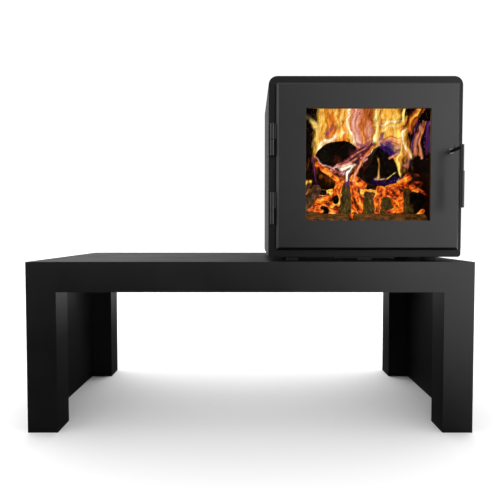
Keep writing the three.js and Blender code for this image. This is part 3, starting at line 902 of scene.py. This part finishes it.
def make_front_logs():
    for side, seed in (("left", 5), ("right", 6)):
        low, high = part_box(f"log_front_{side}")
        _, y, z = middle(f"log_front_{side}")
        radius = (high.z - low.z) / 2 / MM
        start, end = Vector((low.x, y, z)), Vector((high.x, y, z))
        outline, name = oval(radius, radius, sides=40), f"front_log_{side}"
        piece = stick(name, start, end, outline, seed, rough=0.07, taper=0, rings=60, ends=0.03)
        finish_piece(piece, DAMP, "stove_body", "charred_wood", f"log_front_{side}")


# Sticks: where each starts and ends, as in at, then its half width, half height and seed.
BURNING = [
    ((-124, 112, 276), (-46, 112, 220), 9, 9, 11),
    ((-46, 108, 232), (-70, 106, 160), 13, 12, 12),
    ((-118, 118, 166), (-60, 112, 170), 15, 11, 13),
    ((-126, 112, 134), (-56, 110, 128), 16, 14, 14),
    ((-14, 114, 224), (16, 108, 122), 17, 15, 15),
    ((76, 112, 206), (52, 106, 122), 15, 14, 16),
    ((84, 114, 202), (132, 110, 168), 14, 13, 17),
    ((128, 110, 172), (148, 106, 122), 12, 12, 18),
    ((94, 106, 130), (140, 106, 126), 9, 9, 19),
    ((20, 118, 214), (-30, 122, 190), 12, 12, 20),
    ((84, 86, 122), (114, 86, 138), 9, 8, 22),
    ((128, 120, 214), (166, 126, 238), 13, 12, 25),
    ((182, 100, 118), (200, 104, 136), 7, 7, 26),
    ((104, 106, 176), (136, 106, 198), 10, 10, 23),
    ((-14, 128, 238), (32, 124, 206), 13, 12, 24),
]
GAS_LIT = [((-76, 124, 250), (40, 126, 326), 15, 12, 31), ((-52, 124, 246), (34, 126, 296), 14, 12, 32)]
MOSS_GROWN = [
    ((-36, 100, 118), (-31, 106, 214), 20, 14, 41),
    ((34, 100, 114), (35, 104, 178), 22, 14, 42),
    ((94, 98, 112), (84, 104, 174), 24, 14, 43),
    ((152, 96, 120), (150, 110, 200), 16, 14, 44),
]
SCORCHED = [
    ((-178, 104, 120), (-112, 112, 206), 22, 18, 51),
    ((-198, 116, 150), (-140, 122, 222), 18, 16, 52),
    ((-160, 92, 122), (-104, 96, 118), 12, 10, 53),
    ((24, 118, 184), (84, 116, 176), 12, 9, 54),
    ((-24, 92, 82), (-24, 96, 114), 9, 8, 55),
]
BLACKENED = [
    ((178, 92, 160), (166, 190, 168), 29, 29, 61),
    ((-99, 96, 132), (-96, 120, 134), 16, 14, 62),
    ((-64, 92, 166), (-62, 118, 168), 9, 13, 63),
    ((-134, 104, 190), (-90, 108, 187), 9, 8, 64),
]


def make_sticks():
    # name, sticks, material, slot, how much thinner the far ends are
    kinds = (
        ("burning_sticks", BURNING, BRAND, "embers", 0.2),
        ("gas_lit_stick", GAS_LIT, VIOLET_BRAND, "embers", 0.1),
        ("mossy_sticks", MOSS_GROWN, MOSSY, "charred_wood", 0.45),
        ("scorched_sticks", SCORCHED, DRY, "charred_wood", 0.15),
        ("blackened_stumps", BLACKENED, CHAR, "charred_wood", 0.05),
    )
    for name, rows, material, slot, taper in kinds:
        made = []
        for start, end, half_width, half_height, seed in rows:
            outline = oval(half_width, half_height, sides=24)
            made.append(stick(f"{name}_{seed}", at(*start), at(*end), outline, seed, 0.2, taper))
        piece = smooth(joined(name, made), 60)
        finish_piece(piece, material, "stove_body", slot)


def heap_top(x, y):
    """The height of the coals in millimetres, over a place in the stove."""
    slope = np.interp(y, [112, 124, 136, 190, 312], [112, 140, 172, 195, 205])
    mound = np.interp(y, [150, 178, 235, 296, 304], [190, 246, 258, 232, 200])
    share = np.interp(x, [128, 165], [0, 1])
    left = np.interp(x, [-200, -150], [18, 0])
    return slope + left + share * max(mound - slope, 0)


def make_coals():
    """One heap: a rough slope with several hundred coals on it, each with its own heat."""
    chance = random.Random(4)
    shape = bmesh.new()
    heats = []

    def glow(place, x, spread, size):
        """Hotter and cooler patches, cooling towards the right-hand brick."""
        return spread * noise.noise(place * size) - np.interp(x, [162, 188], [0, 0.4])

    def coal(place, size, heat, levels):
        before = len(shape.verts)
        bmesh.ops.create_icosphere(shape, subdivisions=levels, radius=1)
        shape.verts.ensure_lookup_table()
        angle = chance.uniform(0, math.tau)
        axis = Vector([chance.uniform(-1, 1) for _ in range(3)]).normalized()
        turn = Matrix.Rotation(angle, 3, axis)
        squash = Vector((chance.uniform(0.8, 1.5), chance.uniform(0.6, 1.0), chance.uniform(0.5, 0.9)))
        seed = Vector([chance.uniform(0, 90) for _ in range(3)])
        for vertex in shape.verts[before:]:
            lump = 1 + 0.34 * noise.noise(vertex.co * 1.3 + seed) + 0.12 * noise.noise(vertex.co * 4 + seed)
            vertex.co = place + turn @ (vertex.co * lump * squash) * size * MM
            heats.append(heat)

    half_width, low_y, high_y = 214, 112, 308
    columns, rows = 130, 60
    sunk = 8  # the slope lies this far below the tops of the coals on it
    for row in range(rows + 1):
        for column in range(columns + 1):
            x = -half_width + 2 * half_width * column / columns
            y = low_y + (high_y - low_y) * row / rows
            place = at(x, y, heap_top(x, y) - sunk)
            shape.verts.new(place + Vector((0, 0, roughened(place, 2, 0.016, 0.007))))
            heats.append(0.52 + glow(place, x, 0.5, 16))
    shape.verts.ensure_lookup_table()
    for row in range(rows):
        for column in range(columns):
            a = row * (columns + 1) + column
            shape.faces.new([shape.verts[i] for i in (a, a + 1, a + columns + 2, a + columns + 1)])
    for _ in range(430):
        y = 114 + 190 * chance.random() ** 1.6
        x = chance.uniform(-206, 206)
        size = chance.uniform(6, 13)
        place = at(x, y, heap_top(x, y) - size * 0.2)
        heat = 0.62 + glow(place, x, 0.55, 13) + chance.uniform(-0.18, 0.12)
        coal(place, size, heat, 2)
    for _ in range(46):
        y, x = chance.uniform(116, 150), chance.uniform(-196, 196)
        place = at(x, y, heap_top(x, y))
        coal(place, chance.uniform(12, 19), 0.62 + glow(place, x, 0.2, 13) + chance.uniform(-0.3, 0.15), 3)
    mesh = bpy.data.meshes.new("coal_heap")
    shape.to_mesh(mesh)
    shape.free()
    piece = object_of("coal_heap", mesh)
    set_values(piece, "coal_heat", "FLOAT", heats)
    finish_piece(smooth(piece, 50), COAL, "stove_body", "embers", "ember_bed")


make_upper_logs()
make_front_logs()
make_sticks()
make_coals()

# ---- the fire: flames

COLOURS = {
    "white": linear(1.0, 0.95, 0.80),
    "yellow": linear(1.0, 0.87, 0.45),
    "gold": linear(0.98, 0.74, 0.26),
    "amber": linear(0.96, 0.60, 0.20),
    "orange": linear(0.93, 0.47, 0.14),
    "rust": linear(0.66, 0.28, 0.08),
    "salmon": linear(0.92, 0.56, 0.42),
    "pink": linear(0.93, 0.72, 0.66),
    "plum": linear(0.48, 0.20, 0.34),
    "wine": linear(0.34, 0.12, 0.15),
    "violet": linear(0.32, 0.18, 0.48),
    "navy": linear(0.11, 0.04, 0.24),
    "smoke": linear(0.05, 0.02, 0.02),
}

# Tongues of flame on each sheet: colour, strength, half width, then three (right, up) places that a curve
# follows. They are drawn in millimetres on one plane across the firebox and carried to each sheet's depth.
TONGUES = {
    "rear": [
        ("orange", 0.9, 75, (-60, 300), (-50, 380), (-40, 450)),
        ("amber", 0.95, 60, (90, 300), (90, 380), (80, 450)),
        ("salmon", 0.9, 34, (10, 300), (-5, 370), (5, 450)),
        ("gold", 0.9, 30, (-110, 320), (-112, 370), (-100, 450)),
    ],
    "deep": [
        ("gold", 0.8, 22, (84, 330), (88, 385), (82, 450)),
        ("gold", 0.8, 16, (112, 320), (113, 370), (108, 450)),
        ("yellow", 0.8, 8, (66, 372), (96, 386), (128, 378)),
        ("salmon", 0.7, 16, (64, 330), (96, 345), (120, 330)),
        ("gold", 0.9, 13, (-118, 290), (-106, 362), (-152, 402)),
        ("yellow", 0.9, 9, (-118, 300), (-108, 362), (-158, 404)),
        ("gold", 0.95, 14, (-104, 310), (-115, 374), (-104, 450)),
        ("yellow", 0.9, 8, (-106, 320), (-116, 376), (-108, 450)),
        ("white", 1.0, 11, (-112, 312), (-88, 344), (-44, 358)),
        ("orange", 0.8, 9, (-86, 352), (-97, 397), (-91, 450)),
        ("yellow", 0.9, 8, (-62, 352), (-53, 397), (-76, 450)),
        ("rust", 0.7, 5, (-76, 362), (-72, 384), (-84, 396)),
        ("yellow", 0.9, 6, (-53, 344), (-46, 382), (-55, 450)),
        ("orange", 0.8, 6, (-40, 344), (-45, 380), (-46, 450)),
        ("gold", 0.8, 11, (-20, 332), (-40, 374), (-38, 450)),
        ("white", 0.85, 6, (-14, 330), (-38, 374), (-34, 450)),
        ("pink", 0.75, 9, (-2, 334), (-21, 391), (-10, 450)),
        ("plum", 0.35, 5, (6, 340), (-12, 391), (-6, 450)),
        ("orange", 0.7, 11, (17, 324), (10, 382), (20, 450)),
        ("rust", 0.8, 8, (14, 370), (15, 410), (17, 450)),
        ("rust", 0.8, 7, (33, 370), (31, 405), (36, 450)),
        ("salmon", 0.7, 9, (32, 320), (28, 370), (26, 390)),
        ("gold", 0.9, 12, (44, 310), (47, 374), (54, 450)),
        ("yellow", 1.0, 7, (42, 316), (46, 374), (54, 450)),
        ("plum", 0.85, 8, (62, 344), (64, 353), (68, 362)),
        ("plum", 0.7, 6, (-94, 362), (-86, 372), (-80, 384)),
        ("smoke", 0.8, 15, (128, 384), (134, 404), (132, 424)),
        ("smoke", 0.9, 22, (-146, 408), (-138, 416), (-132, 428)),
        ("smoke", 1.0, 24, (152, 352), (160, 378), (176, 398)),
        ("smoke", 1.0, 28, (200, 430), (206, 400), (208, 340)),
        ("smoke", 1.0, 28, (-168, 390), (-154, 350), (-148, 300)),
    ],
    "main": [
        ("smoke", 0.9, 20, (204, 330), (206, 290), (200, 250)),
        ("wine", 0.9, 15, (-16, 296), (8, 312), (34, 326)),
        ("wine", 0.85, 12, (14, 296), (32, 312), (44, 328)),
        ("plum", 0.7, 7, (-8, 330), (10, 326), (40, 336)),
        ("smoke", 0.6, 14, (160, 268), (172, 284), (168, 300)),
        ("violet", 0.5, 8, (204, 310), (196, 344), (202, 391)),
        ("wine", 0.7, 11, (163, 300), (158, 339), (176, 376)),
        ("salmon", 0.55, 9, (168, 304), (162, 336), (178, 372)),
        ("gold", 0.7, 8, (116, 380), (126, 396), (136, 410)),
        ("smoke", 0.8, 12, (-154, 334), (-150, 296), (-142, 256)),
        ("violet", 0.55, 4, (156, 310), (154, 344), (170, 386)),
        ("salmon", 0.75, 4, (188, 290), (172, 339), (189, 391)),
        ("orange", 0.8, 3, (180, 300), (176, 340), (194, 391)),
        ("plum", 0.6, 3, (200, 300), (188, 340), (206, 391)),
        ("salmon", 0.5, 2, (166, 290), (160, 330), (164, 372)),
        ("orange", 0.95, 9, (140, 366), (156, 400), (184, 440)),
        ("gold", 0.9, 5, (160, 400), (170, 420), (184, 440)),
        ("yellow", 1.0, 5, (128, 402), (128, 420), (138, 450)),
        ("violet", 0.6, 20, (78, 328), (98, 308), (112, 300)),
        ("navy", 0.75, 13, (84, 320), (96, 308), (108, 298)),
        ("navy", 0.8, 12, (136, 264), (146, 282), (154, 302)),
        ("plum", 0.5, 3, (74, 334), (96, 330), (122, 312)),
        ("salmon", 0.8, 4, (88, 284), (104, 290), (114, 302)),
        ("gold", 0.9, 9, (150, 296), (120, 334), (138, 372)),
        ("white", 1.0, 5, (151, 290), (112, 340), (138, 372)),
        ("gold", 0.95, 6, (124, 240), (113, 295), (124, 339)),
        ("yellow", 0.9, 4, (124, 232), (113, 295), (122, 330)),
        ("salmon", 0.7, 6, (134, 262), (146, 285), (138, 312)),
        ("orange", 0.85, 6, (-12, 232), (2, 268), (40, 318)),
        ("pink", 0.8, 3.5, (-14, 222), (-6, 256), (34, 300)),
        ("violet", 0.8, 8, (-36, 208), (-34, 236), (-26, 256)),
        ("white", 1.0, 4.5, (-36, 222), (-31, 248), (-14, 266)),
        ("white", 0.95, 6, (-52, 256), (-30, 260), (-12, 268)),
        ("salmon", 0.75, 5, (-78, 254), (-41, 264), (-6, 286)),
        ("pink", 0.95, 4.5, (-76, 256), (-50, 262), (-20, 272)),
        ("salmon", 0.7, 2.5, (-20, 290), (6, 306), (38, 336)),
        ("rust", 0.8, 4, (-128, 282), (-96, 262), (-68, 246)),
        ("pink", 0.7, 2.5, (-128, 286), (-96, 266), (-68, 248)),
        ("violet", 0.7, 4, (-136, 280), (-134, 246), (-119, 208)),
        ("plum", 0.7, 3, (-132, 270), (-132, 246), (-122, 216)),
    ],
    "front": [
        ("amber", 1.0, 4, (58, 222), (75, 251), (55, 286)),
        ("yellow", 1.0, 2.6, (60, 222), (75, 251), (56, 284)),
        ("pink", 0.9, 4, (54, 221), (64, 223), (74, 227)),
        ("yellow", 0.8, 2, (80, 224), (92, 228), (102, 240)),
        ("navy", 0.85, 11, (50, 214), (82, 202), (128, 232)),
        ("gold", 1.0, 7, (-160, 214), (-146, 224), (-136, 218)),
    ],
}
# depth, and how far each sheet stays below the baffle
SHEETS = {"rear": (232, 12), "deep": (168, 20), "main": (104, 28), "front": (84, 34)}

EYE = (Vector(scene.camera.location) - STOVE) / MM
DRAWN_AT = 80  # the depth of the plane on which the tongues are drawn
BAFFLE_FOOT = (345, 328)  # depth and height of the baffle's underside at its rear end
BAFFLE_RUN, BAFFLE_RISE = 277, 118  # from there forwards and up to its front end


def drifting(x, z, seed, size, amount):
    """A smooth random shift: a sum of waves of many sizes and directions."""
    chance = np.random.default_rng(seed)
    total = np.zeros_like(x)
    waves = 14
    for _ in range(waves):
        turn = chance.uniform(0, math.tau)
        length = size * chance.uniform(0.6, 1.8)
        phase = chance.uniform(0, math.tau)
        total += np.sin((x * math.cos(turn) * 1.3 + z * math.sin(turn) * 0.7) * math.tau / length + phase)
    return total * amount / math.sqrt(waves / 2)


PALER = dict(orange="gold", amber="yellow", gold="yellow", yellow="white", salmon="pink", rust="orange")
DARKER = dict(
    orange="rust", amber="orange", gold="amber", yellow="amber", white="gold", pink="salmon",
    salmon="rust", plum="navy", violet="navy",
)


def filaments():
    """Each sheet's tongues, each followed by finer threads, paler or darker, that run beside its curve."""
    chance = random.Random(12)
    drawn = {sheet: [] for sheet in TONGUES}
    for sheet, tongues in TONGUES.items():
        for tongue in tongues:
            drawn[sheet].append(tongue)
            paint, _, half_width, *places = tongue
            threads = int(half_width / 2.6) if half_width > 6 and sheet != "front" else 0
            for _ in range(threads):
                thread = (PALER if chance.random() < 0.5 else DARKER).get(paint)
                side = half_width * chance.uniform(-0.85, 0.85)
                shifts = [side * chance.uniform(0.6, 1.3) for _ in places]
                slide = chance.uniform(-12, 12)
                if thread:
                    moved = [(x + shift, z + slide) for (x, z), shift in zip(places, shifts)]
                    strength, thickness = chance.uniform(0.35, 0.85), chance.uniform(1.6, 4.2)
                    drawn[sheet].append((thread, strength, thickness, *moved))
    return drawn


def curve_distance(x, z, places, half_width):
    """Distance from a curve in half widths; the tongue narrows towards its last place."""
    far_away, thinning = 9.0, 0.35
    best = np.full(x.shape, far_away)
    a, b, c = (np.array(p, dtype=float) for p in places)
    for t in np.linspace(0, 1, 26):
        point = (1 - t) ** 2 * a + 2 * t * (1 - t) * b + t * t * c
        width = half_width * (1 - thinning * t)
        best = np.minimum(best, np.hypot(x - point[0], z - point[1]) / width)
    return best


def paint_tongue(x, z, ragged, tongue, colour, cover):
    """Lays one tongue over what is painted so far, with a hot core and torn edges."""
    paint, strength, half_width, *places = tongue
    reach = 1.6 * half_width + 4  # beyond this the tongue's edge is gone
    low, high = np.min(places, axis=0) - reach, np.max(places, axis=0) + reach
    near_by = (x > low[0]) & (x < high[0]) & (z > low[1]) & (z < high[1])
    near = curve_distance(x[near_by], z[near_by], places, half_width) + ragged[near_by]
    share = np.clip((1.25 - near) / 0.95, 0, 1)
    share = (strength * share * share * (3 - 2 * share))[:, None]
    core = 0.8 + 0.4 * np.clip(1 - near, 0, 1)
    colour[near_by] = colour[near_by] * (1 - share) + np.array(COLOURS[paint]) * core[:, None] * share
    cover[near_by] = cover[near_by] * (1 - share[:, 0]) + share[:, 0]


def flame_sheet(name, tongues, depth, gap, seed):
    """A curved sheet across the firebox, kept only where it has a tongue; its paint is colour and cover."""
    step = 1.8
    x, z = np.meshgrid(np.arange(-222, 222, step), np.arange(190, 441, step))
    under_baffle = BAFFLE_FOOT[0] - (z - BAFFLE_FOOT[1]) * BAFFLE_RUN / BAFFLE_RISE - gap
    y = np.minimum(depth + drifting(x, z, seed, 150, 7), under_baffle)
    nearer = (DRAWN_AT - EYE.y) / (y - EYE.y)
    flat_x, flat_z = EYE.x + (x - EYE.x) * nearer, EYE.z + (z - EYE.z) * nearer
    flat_x, flat_z = (
        flat_x + drifting(flat_x, flat_z, seed + 1, 70, 3.0) + drifting(flat_x, flat_z, seed + 2, 26, 1.2),
        flat_z + drifting(flat_x, flat_z, seed + 3, 60, 3.0),
    )
    ragged = drifting(flat_x * 1.6, flat_z * 0.5, seed + 4, 11, 0.14)
    colour, cover = np.zeros((*x.shape, 3)), np.zeros(x.shape)
    for tongue in tongues:
        paint_tongue(flat_x, flat_z, ragged, tongue, colour, cover)
    colour = colour / np.maximum(cover, 1e-4)[..., None]
    lit = cover > 0.02
    keep = lit[:-1, :-1] | lit[1:, :-1] | lit[:-1, 1:] | lit[1:, 1:]
    index = np.arange(x.size).reshape(x.shape)
    quads = np.stack([index[:-1, :-1], index[:-1, 1:], index[1:, 1:], index[1:, :-1]], axis=-1)[keep]
    used, quads = np.unique(quads, return_inverse=True)
    places = np.stack([x, y, z], axis=-1).reshape(-1, 3)[used] * MM + np.array(STOVE)
    mesh = bpy.data.meshes.new(f"flames_{name}")
    mesh.from_pydata(places.tolist(), [], quads.reshape(-1, 4).tolist())
    piece = object_of(f"flames_{name}", mesh)
    paint = np.concatenate([colour, cover[..., None]], axis=-1).reshape(-1, 4)[used]
    set_values(piece, "flame_paint", "FLOAT_COLOR", paint)
    piece.data.shade_smooth()
    return piece


def flame_material():
    """Light without a surface: colour and cover come with the mesh, fine rising streaks from noise."""
    n = Nodes("flame")
    paint = n.add("ShaderNodeAttribute", attribute_name="flame_paint")
    streaks = n.noise(1, detail=4, roughness=0.62, distortion=0.9, vector=n.stretched(75, 24, 17))
    wisps = n.noise(1, detail=3, roughness=0.6, distortion=0.5, vector=n.stretched(230, 70, 42))
    level = n.maths("ADD", n.spread(streaks, 0.5, 1.5), n.spread(wisps, -0.2, 0.2))
    level = n.maths("MAXIMUM", level, 0.12)
    # Dim gas is redder and bright gas whiter: green and blue rise faster than red.
    shift = n.add("ShaderNodeCombineColor")
    for socket, power in zip(shift.inputs, (0.75, 1.15, 1.6)):
        n.link(n.maths("POWER", level, power), socket)
    tinted = n.mix(1.0, paint.outputs["Color"], shift.outputs["Color"], blend="MULTIPLY")
    emission = n.add("ShaderNodeEmission", {"Color": tinted, "Strength": 1.0})
    clear = n.add("ShaderNodeBsdfTransparent")
    thin = n.maths("MULTIPLY", paint.outputs["Alpha"], n.span(streaks, 0.25, 0.5, 0.6, 1.05), clamp=True)
    blended = n.either(thin, clear.outputs["BSDF"], emission.outputs["Emission"])
    n.link(blended, n.output.inputs["Surface"])
    n.material.cycles.emission_sampling = "NONE"
    return n.material


FLAME = flame_material()
for number, (name, tongues) in enumerate(filaments().items()):
    sheet = flame_sheet(name, tongues, *SHEETS[name], seed=100 + 10 * number)
    finish_piece(sheet, FLAME, "stove_body", "embers")

# ---- glass


def stove_glass():
    """Ceramic glass with a breath of smoke on it."""
    n = Nodes("ceramic_glass")
    haze = n.noise(9, detail=3)
    tint = n.mix(haze, (0.98, 0.965, 0.94), (0.94, 0.92, 0.89))
    ripple = n.bump(n.noise(14, detail=1), 0.0004, 0.1)
    return n.surface(tint, n.spread(haze, 0.0, 0.03), ripple, Transmission_Weight=1.0, IOR=1.05)


dress("door_glass", stove_glass(), 0.3)

# ---- room and light


def make_floor():
    """White to the eye; dark to the paint that mirrors it, as under a black flag beside the set."""
    ground = cad_box[0].z
    half, thick, gap = 14.0, 20 * MM, 0.2 * MM
    floor = block("floor", (-half, -half, ground - thick), (half, half, ground - gap))
    n = Nodes("pale_floor")
    cloud = n.noise(1.5, detail=2)
    white = n.mix(cloud, (0.92, 0.92, 0.92), (0.94, 0.94, 0.94))
    n.surface(white, n.span(cloud, 0, 1, 0.8, 0.9), Specular_IOR_Level=0.0)
    shader = n.output.inputs["Surface"].links[0].from_socket
    flag = n.add("ShaderNodeBsdfDiffuse", {"Color": (0.012, 0.012, 0.012, 1)})
    path = n.add("ShaderNodeLightPath")
    split = n.add("ShaderNodeSeparateXYZ", {"Vector": n.place})
    bare_right = n.span(split.outputs["X"], 0.5, 1.5)
    bare_behind = n.span(split.outputs["Y"], 1.2, 3.0, 0.0, 0.22)
    flagged = n.maths("SUBTRACT", 1.0, n.maths("MAXIMUM", bare_right, bare_behind))
    share = n.maths("MULTIPLY", path.outputs["Is Glossy Ray"], flagged)
    n.link(n.either(share, shader, flag.outputs["BSDF"]), n.output.inputs["Surface"])
    floor.data.materials.append(n.material)


class Sky(Nodes):
    """The same builder for the world's node tree."""

    def __init__(self, world):
        world.use_nodes = True
        self.tree = world.node_tree
        self.tree.nodes.clear()
        self.output = self.add("ShaderNodeOutputWorld")
        self.place = self.add("ShaderNodeTexCoord").outputs["Generated"]

    def light(self, colour, strength):
        values = {"Color": (*colour, 1), "Strength": strength}
        return self.add("ShaderNodeBackground", values).outputs["Background"]


BACKDROP = 1.05  # just past white
HORIZON_LIGHT = 4.7
ZENITH_LIGHT = 1.4
FRONT_SHARE = 0.45  # of the light from behind
FIRE_WATTS = 0.04


def make_world():
    """Three studios in one: what the camera sees, what lights the floor, and what the paint mirrors."""
    world = bpy.data.worlds.new("studio")
    scene.world = world
    n = Sky(world)
    split = n.add("ShaderNodeSeparateXYZ", {"Vector": n.place})
    right, back, up = split.outputs  # of the direction looked in, -1 to 1
    path = n.add("ShaderNodeLightPath")
    seen = n.light((1, 1, 1), BACKDROP)
    from_back = n.span(back, -0.3, 0.4, FRONT_SHARE, 1.0)
    from_above = n.span(up, 0.0, 0.9, HORIZON_LIGHT, ZENITH_LIGHT)
    ambient = n.light((1, 1, 1), n.maths("MULTIPLY", from_back, from_above))
    front_wall = n.maths("ADD", 0.52, n.span(right, 0.1, 0.42, 0.0, 2.0))
    rear_wall = n.maths("MULTIPLY", n.span(right, -0.3, 0.1, 0.42, 0.15), n.span(up, 0.1, 0.9, 1.0, 0.6))
    behind = n.span(back, -0.3, 0.3)
    before = n.maths("SUBTRACT", 1.0, behind)
    level = n.maths("ADD", n.maths("MULTIPLY", rear_wall, behind), n.maths("MULTIPLY", front_wall, before))
    left_card = n.span(right, -0.75, -0.95, 0.0, 1.2)
    top_card = n.span(up, 0.7, 0.95, 0.0, 0.3)
    for card in (left_card, top_card):
        level = n.maths("ADD", level, card)
    mirrored = n.light((0.985, 0.985, 1.0), level)
    lit = n.either(path.outputs["Is Glossy Ray"], ambient, mirrored)
    n.link(n.either(path.outputs["Is Camera Ray"], lit, seen), n.output.inputs["Surface"])


def fire_light(name, place):
    """A soft lamp among the flames, which is itself unseen."""
    data = bpy.data.lights.new(name, "POINT")
    data.energy = FIRE_WATTS
    data.color = (1.0, 0.42, 0.12)
    data.shadow_soft_size = 30 * MM
    lamp = bpy.data.objects.new(name, data)
    scene.collection.objects.link(lamp)
    lamp.location = place
    lamp.visible_camera = lamp.visible_transmission = lamp.visible_glossy = False


make_floor()
make_world()
fire_light("fire_left", at(-90, 90, 300))
fire_light("fire_right", at(120, 90, 290))

scene.view_settings.view_transform = "Standard"
